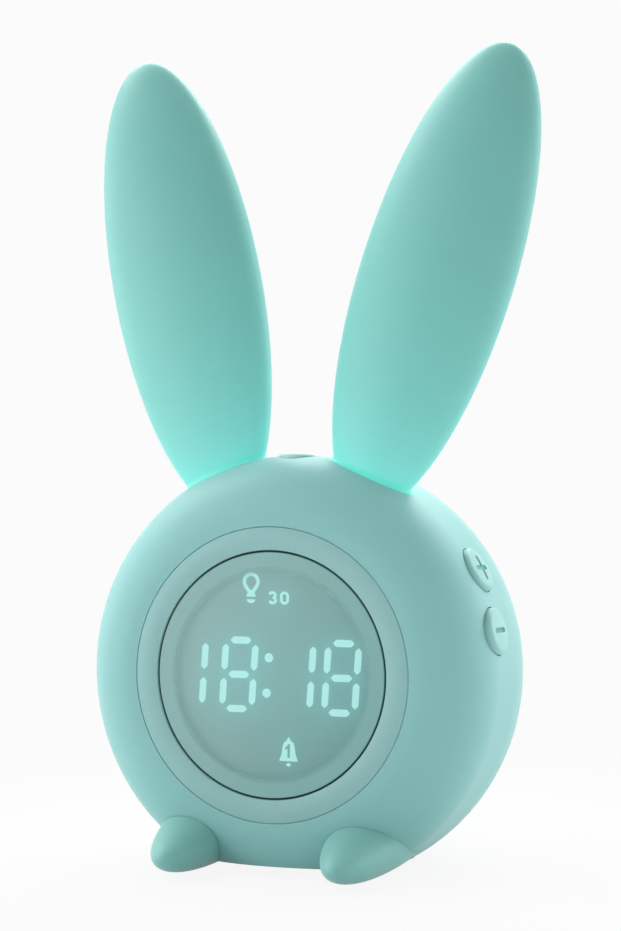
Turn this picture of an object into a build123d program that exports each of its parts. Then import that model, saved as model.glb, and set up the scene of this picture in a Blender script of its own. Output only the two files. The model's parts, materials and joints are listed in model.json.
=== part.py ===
"""Rabbit-eared alarm clock with night light, in millimetres.

The row frame has its origin on the table under the centre of the round body, +Z up and
the display facing -Y. Everything on the body is placed in the body's own frame, which
leans back a little: right (+X), up and forward (out of the display).
"""
import os
from math import cos, radians, sin, tan

from build123d import *

os.makedirs("parts", exist_ok=True)

# ---- Driving dimensions: round body -------------------------------------------------
body_radius = 54.5
body_lean = 2.9  # degrees, display tipped back
face_depth = 26.6  # body centre to the flat front
shoulder_radius = 16.0  # round between the flat front and the side
rear_depth = 50.6  # body centre to the back
rear_corner_radius = 44.0
rear_corner_turn = 30.5  # degrees that the rear corner sweeps before it meets the domed back
wall = 2.4
underside_cut = 7.9  # height of round body cut off to make the flat underside
base_clearance = 2.5  # underside of the body above the table
seam_depth = 24.0  # body centre to the seam between the two housings
seam_lip = 2.5
seam_gap = 0.15
seat_gap = 0.1  # between pieces that sit together on curved faces

# ---- Driving dimensions: display -----------------------------------------------------
bezel_margin = 1.8  # rim of flat front left outside the bezel ring
bezel_width = 5.75
bezel_thickness = 2.0
bezel_gap = 0.12
bezel_edge_round = 0.35
ledge_thickness = 2.0
lens_gap = 0.65  # between lens and bezel ring, filled by the gasket
lens_thickness = 1.8
lens_chamfer = 0.15
lens_overlap = 1.45  # lens resting on the ledge
gasket_drop = 0.25  # gasket below the lens face
module_gap = 0.3
module_depth = 6.1
digit_width = 8.1
digit_height = 17.1
digit_slant = 3.6  # degrees
digit_drop = 0.25  # middle of the digits below the middle of the display
segment_width = 1.8
segment_end_gap = 1.05  # upright segment to the corner of its digit
segment_side_gap = 1.25  # level segment to the corner of its digit
segment_depth = 0.5
digit_centres = (-23.0, -9.3, 6.35, 18.45)
digits_shown = ("1", "8", "1", "8")
colon_place = -1.4
colon_spacing = 8.8
colon_diameter = 2.3
bezel_pin_radius = 1.0
bezel_pin_gap = 0.1

# ---- Driving dimensions: ears --------------------------------------------------------
ear_half_length = 61.6
ear_half_width = 20.5
ear_half_thickness = 10.1
ear_wall = 2.3
ear_out_tilt = 15.9  # degrees from upright, away from the middle
ear_back_tilt = 9.4
ear_root_angle = 67.6  # where the ear's axis leaves the body, degrees above +X
ear_root_forward = 9.5
ear_sunk = 10.2  # length of the ear's egg shape cut off by the body
ear_plug_length = 6.0  # solid silicone above the body
neck_half_width = 8.2
neck_half_thickness = 4.2
neck_gap = 0.2
neck_wall = 2.0
socket_wall = 2.2
socket_depth = 9.9  # below the root point, along the ear
ear_flange_overhang = 1.8
ear_flange_thickness = 1.5
clamp_thickness = 1.5
clamp_post_radius = 2.3
ear_led_board = (14.0, 7.0)
ear_led_side = 2.4
ear_led_pitch = 3.4
ear_led_height = 1.2

# ---- Driving dimensions: feet and base -----------------------------------------------
foot_spacing = 45.7
foot_half_length = 43.0
foot_half_width = 11.4
foot_half_height = 8.9
foot_pitch = 8.3  # degrees, toe down
foot_reach = 15.7  # toe in front of the flat front
foot_toe_height = 5.1
foot_peg_radius = 3.0
foot_peg_height = 9.6
foot_boss_radius = 5.5
foot_boss_inset = 8.4  # boss end behind the flat front
foot_peg_short = 0.2  # peg ends just below the boss so the washer clamps it
foot_under = 5.0  # foot ends this far in front of the body centre
washer_thickness = 1.2
washer_radius = 4.0
foot_peg_gap = 0.15
pad_length = 50.0
pad_width = 24.0
pad_back = 8.0  # pad centre behind the body centre
pad_recess = 0.6
pad_side_gap = 0.2
pad_chamfer = 1.0

# ---- Driving dimensions: buttons -----------------------------------------------------
# name, degrees above +X, distance forward of the body centre, cap radius, proud height
buttons = (
    ("snooze", 90.0, 10.3, 4.6, 0.8),
    ("plus", 29.1, 7.5, 5.9, 1.4),
    ("minus", 12.3, 9.7, 5.9, 1.4),
    ("set", 150.9, 3.5, 5.9, 1.4),
    ("alarm", 167.7, 3.5, 5.9, 1.4),
)
button_gap = 0.25
button_edge_round = 0.7
button_travel = 0.6
button_flange_overhang = 1.0
button_flange_thickness = 0.8
button_flange_clearance = 0.75
stem_radius = 1.6
stem_length = 2.0
switch_side = 6.0
switch_height = 3.5
plunger_radius = 1.75
plunger_height = 1.5
plunger_gap = 0.2
plunger_in_switch = 1.2
plunger_floor = 0.3
carrier_thickness = 2.0
carrier_width = 12.0
carrier_end_angle = 9.5  # degrees of carrier past each switch
carrier_tab_reach = 11.4
carrier_tab_width = 6.0
post_radius = 2.4
snooze_board_width = 10.0
snooze_board_length = 23.2
snooze_post_reach = 8.8

# ---- Driving dimensions: electronics and fasteners -----------------------------------
board_thickness = 1.6
board_margin = 1.1  # main board inside the bezel ring's outer edge
board_screw_inset = 3.0
board_post_radius = 2.4
screw_radius = 1.1
screw_head_radius = 2.1
screw_head_height = 1.4
screw_bite = 4.0
screw_slack = 0.05
housing_screw_circle = 38.0
housing_screw_radius = 1.4
housing_screw_head_radius = 2.7
housing_screw_head_height = 2.0
housing_screw_bite = 9.0
housing_screw_floor = 3.0
housing_post_radius = 3.6
housing_post_length = 14.0
housing_post_web = 3.0
well_wall = 1.3
well_gap = 0.4
cell_length = 40.0
cell_width = 26.0
cell_thickness = 8.0
cell_corner = 2.0
tray_wall = 1.4
tray_floor = 1.5
tray_gap = 0.3
tray_rim = 3.5
tray_tab_reach = 3.2  # screw centre outside the tray wall
speaker_radius = 14.0
speaker_rim_thickness = 1.2
speaker_basket_depth = 4.5
speaker_magnet_radius = 8.0
speaker_magnet_depth = 3.0
speaker_inset = 5.8  # speaker's front ahead of the back
speaker_basket_radius = 12.2
speaker_basket_taper = 3.0
speaker_dish_depth = 1.6
speaker_gap = 0.4
speaker_post_radius = 2.4
speaker_clamp_thickness = 1.4
speaker_screw_reach = 4.2
grille_hole_radius = 1.1
grille_pitch = 4.0
grille_rings = 2
port_drop = 25.0  # charging port below the body's axis
port_width = 9.0
port_height = 3.6
port_inset = 8.0  # mouth of the socket ahead of the back
socket_size = (7.6, 6.4, 2.7)
charge_board_size = (17.0, 14.0, 1.2)
socket_wall_thickness = 0.4
socket_tongue = (5.2, 4.4, 0.7)
charge_board_inset = 11.5  # board's rear edge ahead of the back
rail_width = 4.4
rail_height = 4.5

# ---- The body's own frame ------------------------------------------------------------
right = Vector(1, 0, 0)
forward = Vector(0, -cos(radians(body_lean)), sin(radians(body_lean)))
up = Vector(0, sin(radians(body_lean)), cos(radians(body_lean)))
centre_height = body_radius - underside_cut + base_clearance
body_centre = Vector(0, 0, centre_height)
face_plane = Plane(origin=body_centre, x_dir=right, z_dir=forward)
profile_plane = Plane(origin=body_centre, x_dir=right, z_dir=-up)
body_axis = Axis(body_centre, forward)
flat_radius = body_radius - shoulder_radius
shoulder_start = face_depth - shoulder_radius
rear_corner_offset = body_radius - rear_corner_radius
rear_turn = radians(rear_corner_turn)
rear_cap_radius = rear_corner_radius + rear_corner_offset / cos(rear_turn)
rear_cap_centre = rear_cap_radius - rear_depth
rear_corner_start = rear_cap_centre - rear_corner_offset * tan(rear_turn)

bezel_radius = flat_radius - bezel_margin
window_radius = bezel_radius - bezel_width
lens_radius = window_radius - lens_gap
opening_radius = lens_radius - lens_overlap
seat_depth = face_depth - bezel_thickness  # where the lens and the ring rest
ledge_back = seat_depth - ledge_thickness
module_radius = opening_radius - module_gap
module_front = seat_depth - seat_gap
board_front = module_front - module_depth
board_radius = bezel_radius - board_margin
board_screw_circle = board_radius - board_screw_inset


def body_form(inset):
    """The round body's outer form, shrunk by inset, with its flat underside."""
    corner = rear_corner_radius - inset
    cap = rear_cap_radius - inset
    cap_end = (cap * cos(rear_turn), rear_cap_centre - cap * sin(rear_turn))
    with BuildPart() as form:
        with BuildSketch(profile_plane):
            with BuildLine():
                Line((0, face_depth - inset), (flat_radius, face_depth - inset))
                CenterArc((flat_radius, shoulder_start), shoulder_radius - inset, 0, 90)
                Line((body_radius - inset, shoulder_start), (body_radius - inset, rear_corner_start))
                CenterArc((rear_corner_offset, rear_corner_start), corner, 0, -rear_corner_turn)
                RadiusArc(cap_end, (0, rear_cap_centre - cap), cap)
                Line((0, rear_cap_centre - cap), (0, face_depth - inset))
            make_face()
        revolve(axis=body_axis)
        split(bisect_by=Plane.XY.offset(base_clearance + inset), keep=Keep.TOP)
    return form.part


def clip(shape, depth_low, depth_high):
    """The slice of a shape between two distances forward of the body centre."""
    middle = (depth_low + depth_high) / 2
    slab = face_plane.offset(middle).location * Box(300, 300, depth_high - depth_low)
    return shape & slab


def body_point(angle, axial, radius):
    """A point round the body's axis: angle above +X, distance forward, distance out."""
    outward = right * cos(radians(angle)) + up * sin(radians(angle))
    return body_centre + forward * axial + outward * radius


def side_plane(angle, axial, depth=0.0):
    """Plane on the body's side facing out, sunk by depth; its X points forward."""
    outward = right * cos(radians(angle)) + up * sin(radians(angle))
    return Plane(origin=body_point(angle, axial, body_radius - depth), x_dir=forward, z_dir=outward)


def egg(plane, x_radius, y_radius, z_radius):
    """An ellipsoid on a plane."""
    ball = scale(Sphere(1.0), by=(x_radius, y_radius, z_radius))
    return plane.location * ball


outer_form = body_form(0)
inner_form = body_form(wall)
seat_form = body_form(-seat_gap)

# ---- Places that several pieces share ------------------------------------------------
flange_depth = wall + button_flange_clearance  # top of a cap's flange below the surface
stem_end = flange_depth + button_flange_thickness + stem_length
switch_top = stem_end + plunger_height
switch_back = switch_top + switch_height
ear_sides = (("left", -1), ("right", 1))
carrier_sides = (("right", "plus", "minus"), ("left", "set", "alarm"))
foot_heel = face_depth + foot_reach - foot_half_length * cos(radians(foot_pitch))
foot_middle_height = foot_toe_height + foot_half_length * sin(radians(foot_pitch))
foot_boss_y = -(face_depth - foot_boss_inset)
floor_height = base_clearance + wall
foot_places = (("left", -1), ("right", 1))
well_radius = housing_screw_head_radius + well_gap
rear_post_radius = well_radius + well_wall
speaker_screw_circle = speaker_radius + speaker_screw_reach
speaker_seat_depth = rear_depth - speaker_inset  # body centre to the speaker's front
speaker_back = speaker_seat_depth - speaker_rim_thickness
tray_half_width = cell_width / 2 + tray_gap + tray_wall
tray_top = floor_height + tray_floor + tray_rim
tray_tab_y = tray_half_width + tray_tab_reach / 2
tray_screw_y = tray_half_width + tray_tab_reach


def ear_plane(side):
    """Plane at the ear's middle: X across its width, Z along it towards the tip."""
    out = radians(ear_out_tilt)
    back = radians(ear_back_tilt)
    along = Vector(side * sin(out) * cos(back), sin(back), cos(out) * cos(back))
    root_angle = ear_root_angle if side > 0 else 180 - ear_root_angle
    root = body_point(root_angle, ear_root_forward, body_radius)
    across = (right - along * right.dot(along)).normalized()
    middle = root + along * (ear_half_length - ear_sunk)
    return Plane(origin=middle, x_dir=across, z_dir=along)


ear_root = -(ear_half_length - ear_sunk)  # root point in the ear's own plane
socket_end = ear_root - socket_depth
flange_end = socket_end - ear_flange_thickness
clamp_end = flange_end - clamp_thickness
clamp_screw_reach = neck_half_thickness + neck_gap + socket_wall + clamp_post_radius - 0.4


def button_place(name):
    """Angle, forward distance, cap radius and proud height of one button."""
    return next(row[1:] for row in buttons if row[0] == name)


def screw(shaft_radius, head_radius, head_height, shaft_length):
    """A pan-head screw: the head's underside at height 0, the shaft below it."""
    with BuildPart() as fastener:
        with BuildSketch(Plane.XY):
            Circle(head_radius)
        extrude(amount=head_height)
        fillet(fastener.faces().sort_by(Axis.Z)[-1].edges(), head_height * 0.45)
        with BuildSketch(Plane.XY):
            Circle(shaft_radius)
        extrude(amount=-shaft_length)
        with BuildSketch(Plane.XY.offset(head_height)):
            Rectangle(head_radius * 1.1, head_radius * 0.28)
            Rectangle(head_radius * 0.28, head_radius * 1.1)
        extrude(amount=-head_height * 0.5, mode=Mode.SUBTRACT)
    return fastener.part


small_screw = screw(screw_radius, screw_head_radius, screw_head_height, screw_bite - screw_slack)
foot_screw = screw(screw_radius, screw_head_radius, screw_head_height, foot_boss_inset)
housing_screw = screw(
    housing_screw_radius,
    housing_screw_head_radius,
    housing_screw_head_height,
    housing_screw_floor + housing_screw_bite - 1,
)


# ---- Front housing -------------------------------------------------------------------
def board_posts():
    """Four posts behind the ledge that carry the main board."""
    with BuildPart() as posts:
        with BuildSketch(face_plane.offset(board_front)):
            with PolarLocations(board_screw_circle, 4, start_angle=45):
                Circle(board_post_radius)
        extrude(amount=seat_depth - board_front)
    return posts.part


def housing_posts(depth_low, depth_high):
    """Posts for the housing screws, each webbed to the side wall."""
    web_length = body_radius - housing_screw_circle
    with BuildPart() as posts:
        with BuildSketch(face_plane.offset(depth_low)):
            with PolarLocations(housing_screw_circle, 4, start_angle=45):
                Circle(housing_post_radius)
            with PolarLocations(housing_screw_circle + web_length / 2, 4, start_angle=45):
                Rectangle(web_length, housing_post_web)
        extrude(amount=depth_high - depth_low)
        add(outer_form, mode=Mode.INTERSECT)
    return posts.part


def ear_socket(side):
    """The collar round an ear's neck inside the body, with its two screw posts."""
    with BuildPart() as socket:
        with BuildSketch(ear_plane(side).offset(socket_end)):
            Ellipse(
                neck_half_width + neck_gap + socket_wall,
                neck_half_thickness + neck_gap + socket_wall,
            )
        extrude(amount=socket_depth + socket_wall)
        with BuildSketch(ear_plane(side).offset(flange_end)):
            with Locations((0, clamp_screw_reach), (0, -clamp_screw_reach)):
                Circle(clamp_post_radius)
        extrude(amount=socket_depth + socket_wall + ear_flange_thickness)
        add(outer_form, mode=Mode.INTERSECT)
    return socket.part


def switch_posts(angle, axial, reach):
    """Two posts inside the side wall, in front of and behind a button."""
    with BuildPart() as posts:
        with BuildSketch(side_plane(angle, axial, switch_back)):
            with Locations((-reach, 0), (reach, 0)):
                Circle(post_radius)
        extrude(amount=switch_back)
        add(outer_form, mode=Mode.INTERSECT)
    return posts.part


def foot_bosses():
    """Flat-ended bosses inside the lower front, where the foot pegs come through."""
    with BuildPart() as bosses:
        with BuildSketch(Plane.XZ.offset(-foot_boss_y)):
            with Locations((foot_spacing / 2, foot_peg_height), (-foot_spacing / 2, foot_peg_height)):
                Circle(foot_boss_radius)
        extrude(amount=foot_boss_inset + foot_reach)
        add(outer_form, mode=Mode.INTERSECT)
    return bosses.part


def tray_posts():
    """Two posts on the floor for the cell tray's screws."""
    with BuildPart() as posts:
        with BuildSketch(Plane.XY.offset(base_clearance + wall / 2)):
            with Locations((0, tray_screw_y), (0, -tray_screw_y)):
                Circle(post_radius)
        extrude(amount=tray_top - tray_floor - base_clearance - wall / 2)
    return posts.part


def between(upper, lower):
    """Angle and forward distance halfway between two buttons."""
    return (
        (button_place(upper)[0] + button_place(lower)[0]) / 2,
        (button_place(upper)[1] + button_place(lower)[1]) / 2,
    )


snooze_angle, snooze_axial = button_place("snooze")[:2]
post_places = [(*between(upper, lower), carrier_tab_reach) for _, upper, lower in carrier_sides]
post_places.append((snooze_angle, snooze_axial, snooze_post_reach))
front_skin = clip(outer_form, -seam_depth, face_depth + 1) - inner_form
front_lip = clip(body_form(wall / 2 + seam_gap / 2) - inner_form, -seam_depth - seam_lip, -seam_depth)
front_additions = [board_posts(), housing_posts(-seam_depth, housing_post_length - seam_depth)]
front_additions += [ear_socket(side) for _, side in ear_sides]
front_additions += [switch_posts(*place) for place in post_places]
front_additions += [foot_bosses(), tray_posts()]

with BuildPart() as front_housing:
    add(front_skin)
    add(front_lip)
    # Ledge behind the flat front, which carries the ring and the lens
    with BuildSketch(face_plane.offset(ledge_back)):
        Circle(flat_radius)
    extrude(amount=ledge_thickness)
    add(front_additions)
    # Display opening and the recess for the bezel ring
    with BuildSketch(face_plane.offset(ledge_back)):
        Circle(opening_radius)
    extrude(amount=ledge_thickness + bezel_thickness, mode=Mode.SUBTRACT)
    with BuildSketch(face_plane.offset(seat_depth)):
        Circle(bezel_radius + bezel_gap)
    extrude(amount=bezel_thickness, mode=Mode.SUBTRACT)
    with BuildSketch(face_plane.offset(ledge_back)):
        with PolarLocations((bezel_radius + window_radius) / 2, 4):
            Circle(bezel_pin_radius + bezel_pin_gap)
    extrude(amount=ledge_thickness, mode=Mode.SUBTRACT)
    # Screw holes in the board posts and in the housing posts
    with BuildSketch(face_plane.offset(board_front)):
        with PolarLocations(board_screw_circle, 4, start_angle=45):
            Circle(screw_radius + screw_slack)
    extrude(amount=screw_bite, mode=Mode.SUBTRACT)
    with BuildSketch(face_plane.offset(-seam_depth)):
        with PolarLocations(housing_screw_circle, 4, start_angle=45):
            Circle(housing_screw_radius + screw_slack)
    extrude(amount=housing_screw_bite, mode=Mode.SUBTRACT)
    # Notches in the lip for the rear housing's screw posts
    with BuildSketch(face_plane.offset(-seam_depth)):
        with PolarLocations(housing_screw_circle, 4, start_angle=45):
            Circle(rear_post_radius + 2 * seam_gap)
    extrude(amount=-seam_lip, mode=Mode.SUBTRACT)
    # Neck holes and clamp screw holes
    for _, side in ear_sides:
        with BuildSketch(ear_plane(side).offset(socket_end)):
            Ellipse(neck_half_width + neck_gap, neck_half_thickness + neck_gap)
        extrude(amount=socket_depth + ear_plug_length, mode=Mode.SUBTRACT)
        with BuildSketch(ear_plane(side).offset(flange_end)):
            with Locations((0, clamp_screw_reach), (0, -clamp_screw_reach)):
                Circle(screw_radius + screw_slack)
        extrude(amount=screw_bite, mode=Mode.SUBTRACT)
    # Button holes, each with a flat well inside for the cap's flange
    for _, angle, axial, cap_radius, _ in buttons:
        with BuildSketch(side_plane(angle, axial, flange_depth)):
            Circle(cap_radius + button_gap)
        extrude(amount=flange_depth + wall, mode=Mode.SUBTRACT)
        with BuildSketch(side_plane(angle, axial, switch_top)):
            Circle(cap_radius + button_flange_overhang + button_gap)
        extrude(amount=switch_top - flange_depth + button_gap, mode=Mode.SUBTRACT)
    # Screw holes in the switch posts
    for angle, axial, reach in post_places:
        with BuildSketch(side_plane(angle, axial, switch_back)):
            with Locations((-reach, 0), (reach, 0)):
                Circle(screw_radius + screw_slack)
        extrude(amount=screw_bite, mode=Mode.SUBTRACT)
    # Foot peg holes and the recess for the base pad
    with BuildSketch(Plane.XZ.offset(-foot_boss_y)):
        with Locations((foot_spacing / 2, foot_peg_height), (-foot_spacing / 2, foot_peg_height)):
            Circle(foot_peg_radius + foot_peg_gap)
    extrude(amount=face_depth, mode=Mode.SUBTRACT)
    with BuildSketch(Plane.XY.offset(base_clearance)):
        with Locations((0, pad_back)):
            SlotOverall(pad_length + 2 * pad_side_gap, pad_width + 2 * pad_side_gap)
    extrude(amount=pad_recess, mode=Mode.SUBTRACT)
    with BuildSketch(Plane.XY.offset(tray_top - tray_floor)):
        with Locations((0, tray_screw_y), (0, -tray_screw_y)):
            Circle(screw_radius + screw_slack)
    extrude(amount=-screw_bite, mode=Mode.SUBTRACT)
front_housing.part.label = "front_housing"
export_step(front_housing.part, "parts/front_housing.step")


# ---- Rear housing --------------------------------------------------------------------
def rear_posts():
    """Tubes that carry the housing screws up to the seam."""
    with BuildPart() as posts:
        with BuildSketch(face_plane.offset(-seam_depth)):
            with PolarLocations(housing_screw_circle, 4, start_angle=45):
                Circle(rear_post_radius)
        extrude(amount=seam_depth - rear_depth)
        add(outer_form, mode=Mode.INTERSECT)
    return posts.part


def speaker_seat():
    """Shelf for the speaker's rim and the posts of its clamp."""
    with BuildPart() as seat:
        with BuildSketch(face_plane.offset(-speaker_seat_depth)):
            Circle(speaker_radius + speaker_gap)
            Circle(speaker_basket_radius, mode=Mode.SUBTRACT)
        extrude(amount=speaker_seat_depth - rear_depth)
        with BuildSketch(face_plane.offset(-speaker_back)):
            with PolarLocations(speaker_screw_circle, 3, start_angle=90):
                Circle(speaker_post_radius)
            Circle(speaker_radius + speaker_gap, mode=Mode.SUBTRACT)
        extrude(amount=speaker_back - rear_depth)
        add(outer_form, mode=Mode.INTERSECT)
    return seat.part


port_plane = Plane(origin=body_centre - up * port_drop, x_dir=right, z_dir=up)
charge_board_top = -socket_size[2] / 2
charge_board_back = rear_depth - charge_board_inset  # body centre to the board's rear edge
port_mouth_depth = rear_depth - port_inset
socket_hollow = (socket_size[0] - 2 * socket_wall_thickness, socket_size[2] - 2 * socket_wall_thickness)
rail_offset = (charge_board_size[0] - rail_width) / 2
charge_board_middle = charge_board_back - charge_board_size[1] / 2
charge_screw_back = charge_board_back - charge_board_size[1] + rail_width / 2


def charge_rails():
    """Two rails from the back wall that carry the charging board."""
    with BuildPart() as rails:
        with BuildSketch(port_plane.offset(charge_board_top - charge_board_size[2])):
            with Locations((rail_offset, charge_board_middle), (-rail_offset, charge_board_middle)):
                Rectangle(rail_width, charge_board_size[1])
            with Locations((rail_offset, rear_depth - wall), (-rail_offset, rear_depth - wall)):
                Rectangle(rail_width, 2 * (rear_depth - charge_board_back))
        extrude(amount=-rail_height)
        add(outer_form, mode=Mode.INTERSECT)
    return rails.part


rear_skin = clip(outer_form, -rear_depth - 1, -seam_depth) - inner_form
lip_ring = body_form(wall / 2 - seam_gap / 2) - body_form(wall + seam_gap)
lip_room = clip(lip_ring, -seam_depth - seam_lip - seam_gap, -seam_depth)
rear_additions = [rear_posts(), speaker_seat(), charge_rails()]
with BuildPart() as rear_housing:
    add(rear_skin)
    add(lip_room, mode=Mode.SUBTRACT)
    add(rear_additions)
    # Screw wells and holes
    with BuildSketch(face_plane.offset(-seam_depth - housing_screw_floor)):
        with PolarLocations(housing_screw_circle, 4, start_angle=45):
            Circle(well_radius)
    extrude(amount=seam_depth - rear_depth, mode=Mode.SUBTRACT)
    with BuildSketch(face_plane.offset(-seam_depth)):
        with PolarLocations(housing_screw_circle, 4, start_angle=45):
            Circle(housing_screw_radius + 2 * screw_slack)
    extrude(amount=-housing_screw_floor, mode=Mode.SUBTRACT)
    # Speaker grille: rings of round holes
    with BuildSketch(face_plane.offset(-speaker_seat_depth)):
        Circle(grille_hole_radius)
        for ring in range(1, grille_rings + 1):
            with PolarLocations(ring * grille_pitch, 6 * ring):
                Circle(grille_hole_radius)
    extrude(amount=speaker_seat_depth - rear_depth - 1, mode=Mode.SUBTRACT)
    with BuildSketch(face_plane.offset(-speaker_back)):
        with PolarLocations(speaker_screw_circle, 3, start_angle=90):
            Circle(screw_radius + screw_slack)
    extrude(amount=-screw_bite + speaker_clamp_thickness, mode=Mode.SUBTRACT)
    # Charging port and the holes for the board's screws
    with BuildSketch(face_plane.offset(-rear_depth)):
        with Locations((0, -port_drop)):
            SlotOverall(port_width, port_height)
    extrude(amount=rear_depth - charge_board_back, mode=Mode.SUBTRACT)
    with BuildSketch(port_plane.offset(charge_board_top - charge_board_size[2])):
        with Locations((rail_offset, charge_screw_back), (-rail_offset, charge_screw_back)):
            Circle(screw_radius + screw_slack)
    extrude(amount=-screw_bite + charge_board_size[2], mode=Mode.SUBTRACT)
rear_housing.part.label = "rear_housing"
export_step(rear_housing.part, "parts/rear_housing.step")

# ---- Bezel ring, lens and gasket -----------------------------------------------------
with BuildPart() as bezel_ring:
    with BuildSketch(face_plane.offset(seat_depth)):
        Circle(bezel_radius)
        Circle(window_radius, mode=Mode.SUBTRACT)
    extrude(amount=bezel_thickness)
    front_edges = bezel_ring.faces().sort_by(body_axis)[-1].edges()
    fillet(front_edges, bezel_edge_round)
    with BuildSketch(face_plane.offset(seat_depth)):
        with PolarLocations((bezel_radius + window_radius) / 2, 4):
            Circle(bezel_pin_radius)
    extrude(amount=-ledge_thickness)
bezel_ring.part.label = "bezel_ring"
export_step(bezel_ring.part, "parts/bezel_ring.step")

with BuildPart() as display_lens:
    with BuildSketch(face_plane.offset(seat_depth)):
        Circle(lens_radius)
    extrude(amount=lens_thickness)
    chamfer(display_lens.faces().sort_by(body_axis)[-1].edges(), lens_chamfer)
display_lens.part.label = "display_lens"
export_step(display_lens.part, "parts/display_lens.step")

with BuildPart() as lens_gasket:
    with BuildSketch(face_plane.offset(seat_depth)):
        Circle(window_radius - seat_gap)
        Circle(lens_radius + seat_gap, mode=Mode.SUBTRACT)
    extrude(amount=lens_thickness - gasket_drop)
lens_gasket.part.label = "lens_gasket"
export_step(lens_gasket.part, "parts/lens_gasket.step")


# ---- Display module and its lit segments ---------------------------------------------
def segment_bar(length):
    """A bar with pointed ends, lying along X."""
    tip = length / 2
    shoulder = tip - segment_width / 2
    edge = segment_width / 2
    return Polygon(
        (-tip, 0), (-shoulder, edge), (shoulder, edge), (tip, 0), (shoulder, -edge), (-shoulder, -edge)
    )


def digit_bars(shown):
    """Places of the lit bars of one digit: (x, height, length, turn)."""
    half_width = digit_width / 2
    half_height = digit_height / 2
    upright = half_height - 2 * segment_end_gap
    level = digit_width - 2 * segment_side_gap
    turn = 90 - digit_slant
    right_side = [(half_width, height, upright, turn) for height in (half_height / 2, -half_height / 2)]
    if shown == "1":
        return right_side
    left_side = [(-x, height, length, turn) for x, height, length, turn in right_side]
    levels = [(0, height, level, 0) for height in (-half_height, 0, half_height)]
    return right_side + left_side + levels


with BuildPart() as display_segments:
    with BuildSketch(face_plane.offset(module_front - segment_depth)):
        for digit_centre, shown in zip(digit_centres, digits_shown):
            for x, height, length, turn in digit_bars(shown):
                lean = height * tan(radians(digit_slant))
                place = (digit_centre + x + lean, height - digit_drop, 0)
                with Locations(Location(place, (0, 0, turn))):
                    segment_bar(length)
        with Locations((colon_place, -digit_drop)):
            with Locations(Location((0, 0, 0), (0, 0, 90 - digit_slant))):
                with GridLocations(colon_spacing, 1, 2, 1):
                    Circle(colon_diameter / 2)
    extrude(amount=segment_depth)
display_segments.part.label = "display_segments"
export_step(display_segments.part, "parts/display_segments.step")

with BuildPart() as display_module:
    with BuildSketch(face_plane.offset(board_front)):
        Circle(module_radius)
    extrude(amount=module_depth)
    add(display_segments.part, mode=Mode.SUBTRACT)
display_module.part.label = "display_module"
export_step(display_module.part, "parts/display_module.step")

with BuildPart() as main_board:
    with BuildSketch(face_plane.offset(board_front)):
        Circle(board_radius)
        with PolarLocations(board_screw_circle, 4, start_angle=45):
            Circle(screw_radius + 2 * screw_slack, mode=Mode.SUBTRACT)
    extrude(amount=-board_thickness)
main_board.part.label = "main_board"
export_step(main_board.part, "parts/main_board.step")

with BuildPart() as board_screws:
    for angle in (45, 135, 225, 315):
        place = body_point(angle, board_front - board_thickness, board_screw_circle)
        add(Plane(origin=place, x_dir=right, z_dir=-forward).location * small_screw)
board_screws.part.label = "board_screws"
export_step(board_screws.part, "parts/board_screws.step")

# ---- Ears, their clamps and their lights ---------------------------------------------
for name, side in ear_sides:
    plane = ear_plane(side)
    ear_skin = egg(plane, ear_half_width, ear_half_thickness, ear_half_length)
    hollow = egg(
        plane, ear_half_width - ear_wall, ear_half_thickness - ear_wall, ear_half_length - ear_wall
    )
    hollow = split(hollow, bisect_by=plane.offset(ear_root + ear_plug_length), keep=Keep.TOP)
    with BuildPart() as ear:
        add(ear_skin)
        add(seat_form, mode=Mode.SUBTRACT)
        with BuildSketch(plane.offset(flange_end)):
            Ellipse(neck_half_width + ear_flange_overhang, neck_half_thickness + ear_flange_overhang)
        extrude(amount=ear_flange_thickness)
        with BuildSketch(plane.offset(flange_end)):
            Ellipse(neck_half_width, neck_half_thickness)
        extrude(amount=ear_root + ear_plug_length - flange_end)
        add(hollow, mode=Mode.SUBTRACT)
        with BuildSketch(plane.offset(flange_end)):
            Ellipse(neck_half_width - neck_wall, neck_half_thickness - neck_wall)
        extrude(amount=ear_root + ear_plug_length - flange_end, mode=Mode.SUBTRACT)
    ear.part.label = f"ear_{name}"
    export_step(ear.part, f"parts/ear_{name}.step")

    with BuildPart() as ear_clamp:
        with BuildSketch(plane.offset(clamp_end)):
            Ellipse(neck_half_width + ear_flange_overhang, neck_half_thickness + ear_flange_overhang)
            SlotCenterToCenter(2 * clamp_screw_reach, 2 * clamp_post_radius, rotation=90)
            Ellipse(neck_half_width - neck_wall, neck_half_thickness - neck_wall, mode=Mode.SUBTRACT)
            with Locations((0, clamp_screw_reach), (0, -clamp_screw_reach)):
                Circle(screw_radius + 2 * screw_slack, mode=Mode.SUBTRACT)
        extrude(amount=clamp_thickness)
    ear_clamp.part.label = f"ear_clamp_{name}"
    export_step(ear_clamp.part, f"parts/ear_clamp_{name}.step")

    with BuildPart() as ear_led:
        with BuildSketch(plane.offset(clamp_end)):
            Rectangle(*ear_led_board)
        extrude(amount=-board_thickness)
        with BuildSketch(plane.offset(clamp_end)):
            with GridLocations(ear_led_pitch, 1, 3, 1):
                Rectangle(ear_led_side, ear_led_side)
        extrude(amount=ear_led_height)
    ear_led.part.label = f"ear_led_{name}"
    export_step(ear_led.part, f"parts/ear_led_{name}.step")

with BuildPart() as clamp_screws:
    for _, side in ear_sides:
        ear_frame = ear_plane(side)
        for reach in (clamp_screw_reach, -clamp_screw_reach):
            place = ear_frame.from_local_coords((0, reach, clamp_end))
            plane = Plane(origin=place, x_dir=ear_frame.x_dir, z_dir=-ear_frame.z_dir)
            add(plane.location * small_screw)
clamp_screws.part.label = "clamp_screws"
export_step(clamp_screws.part, "parts/clamp_screws.step")

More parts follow.
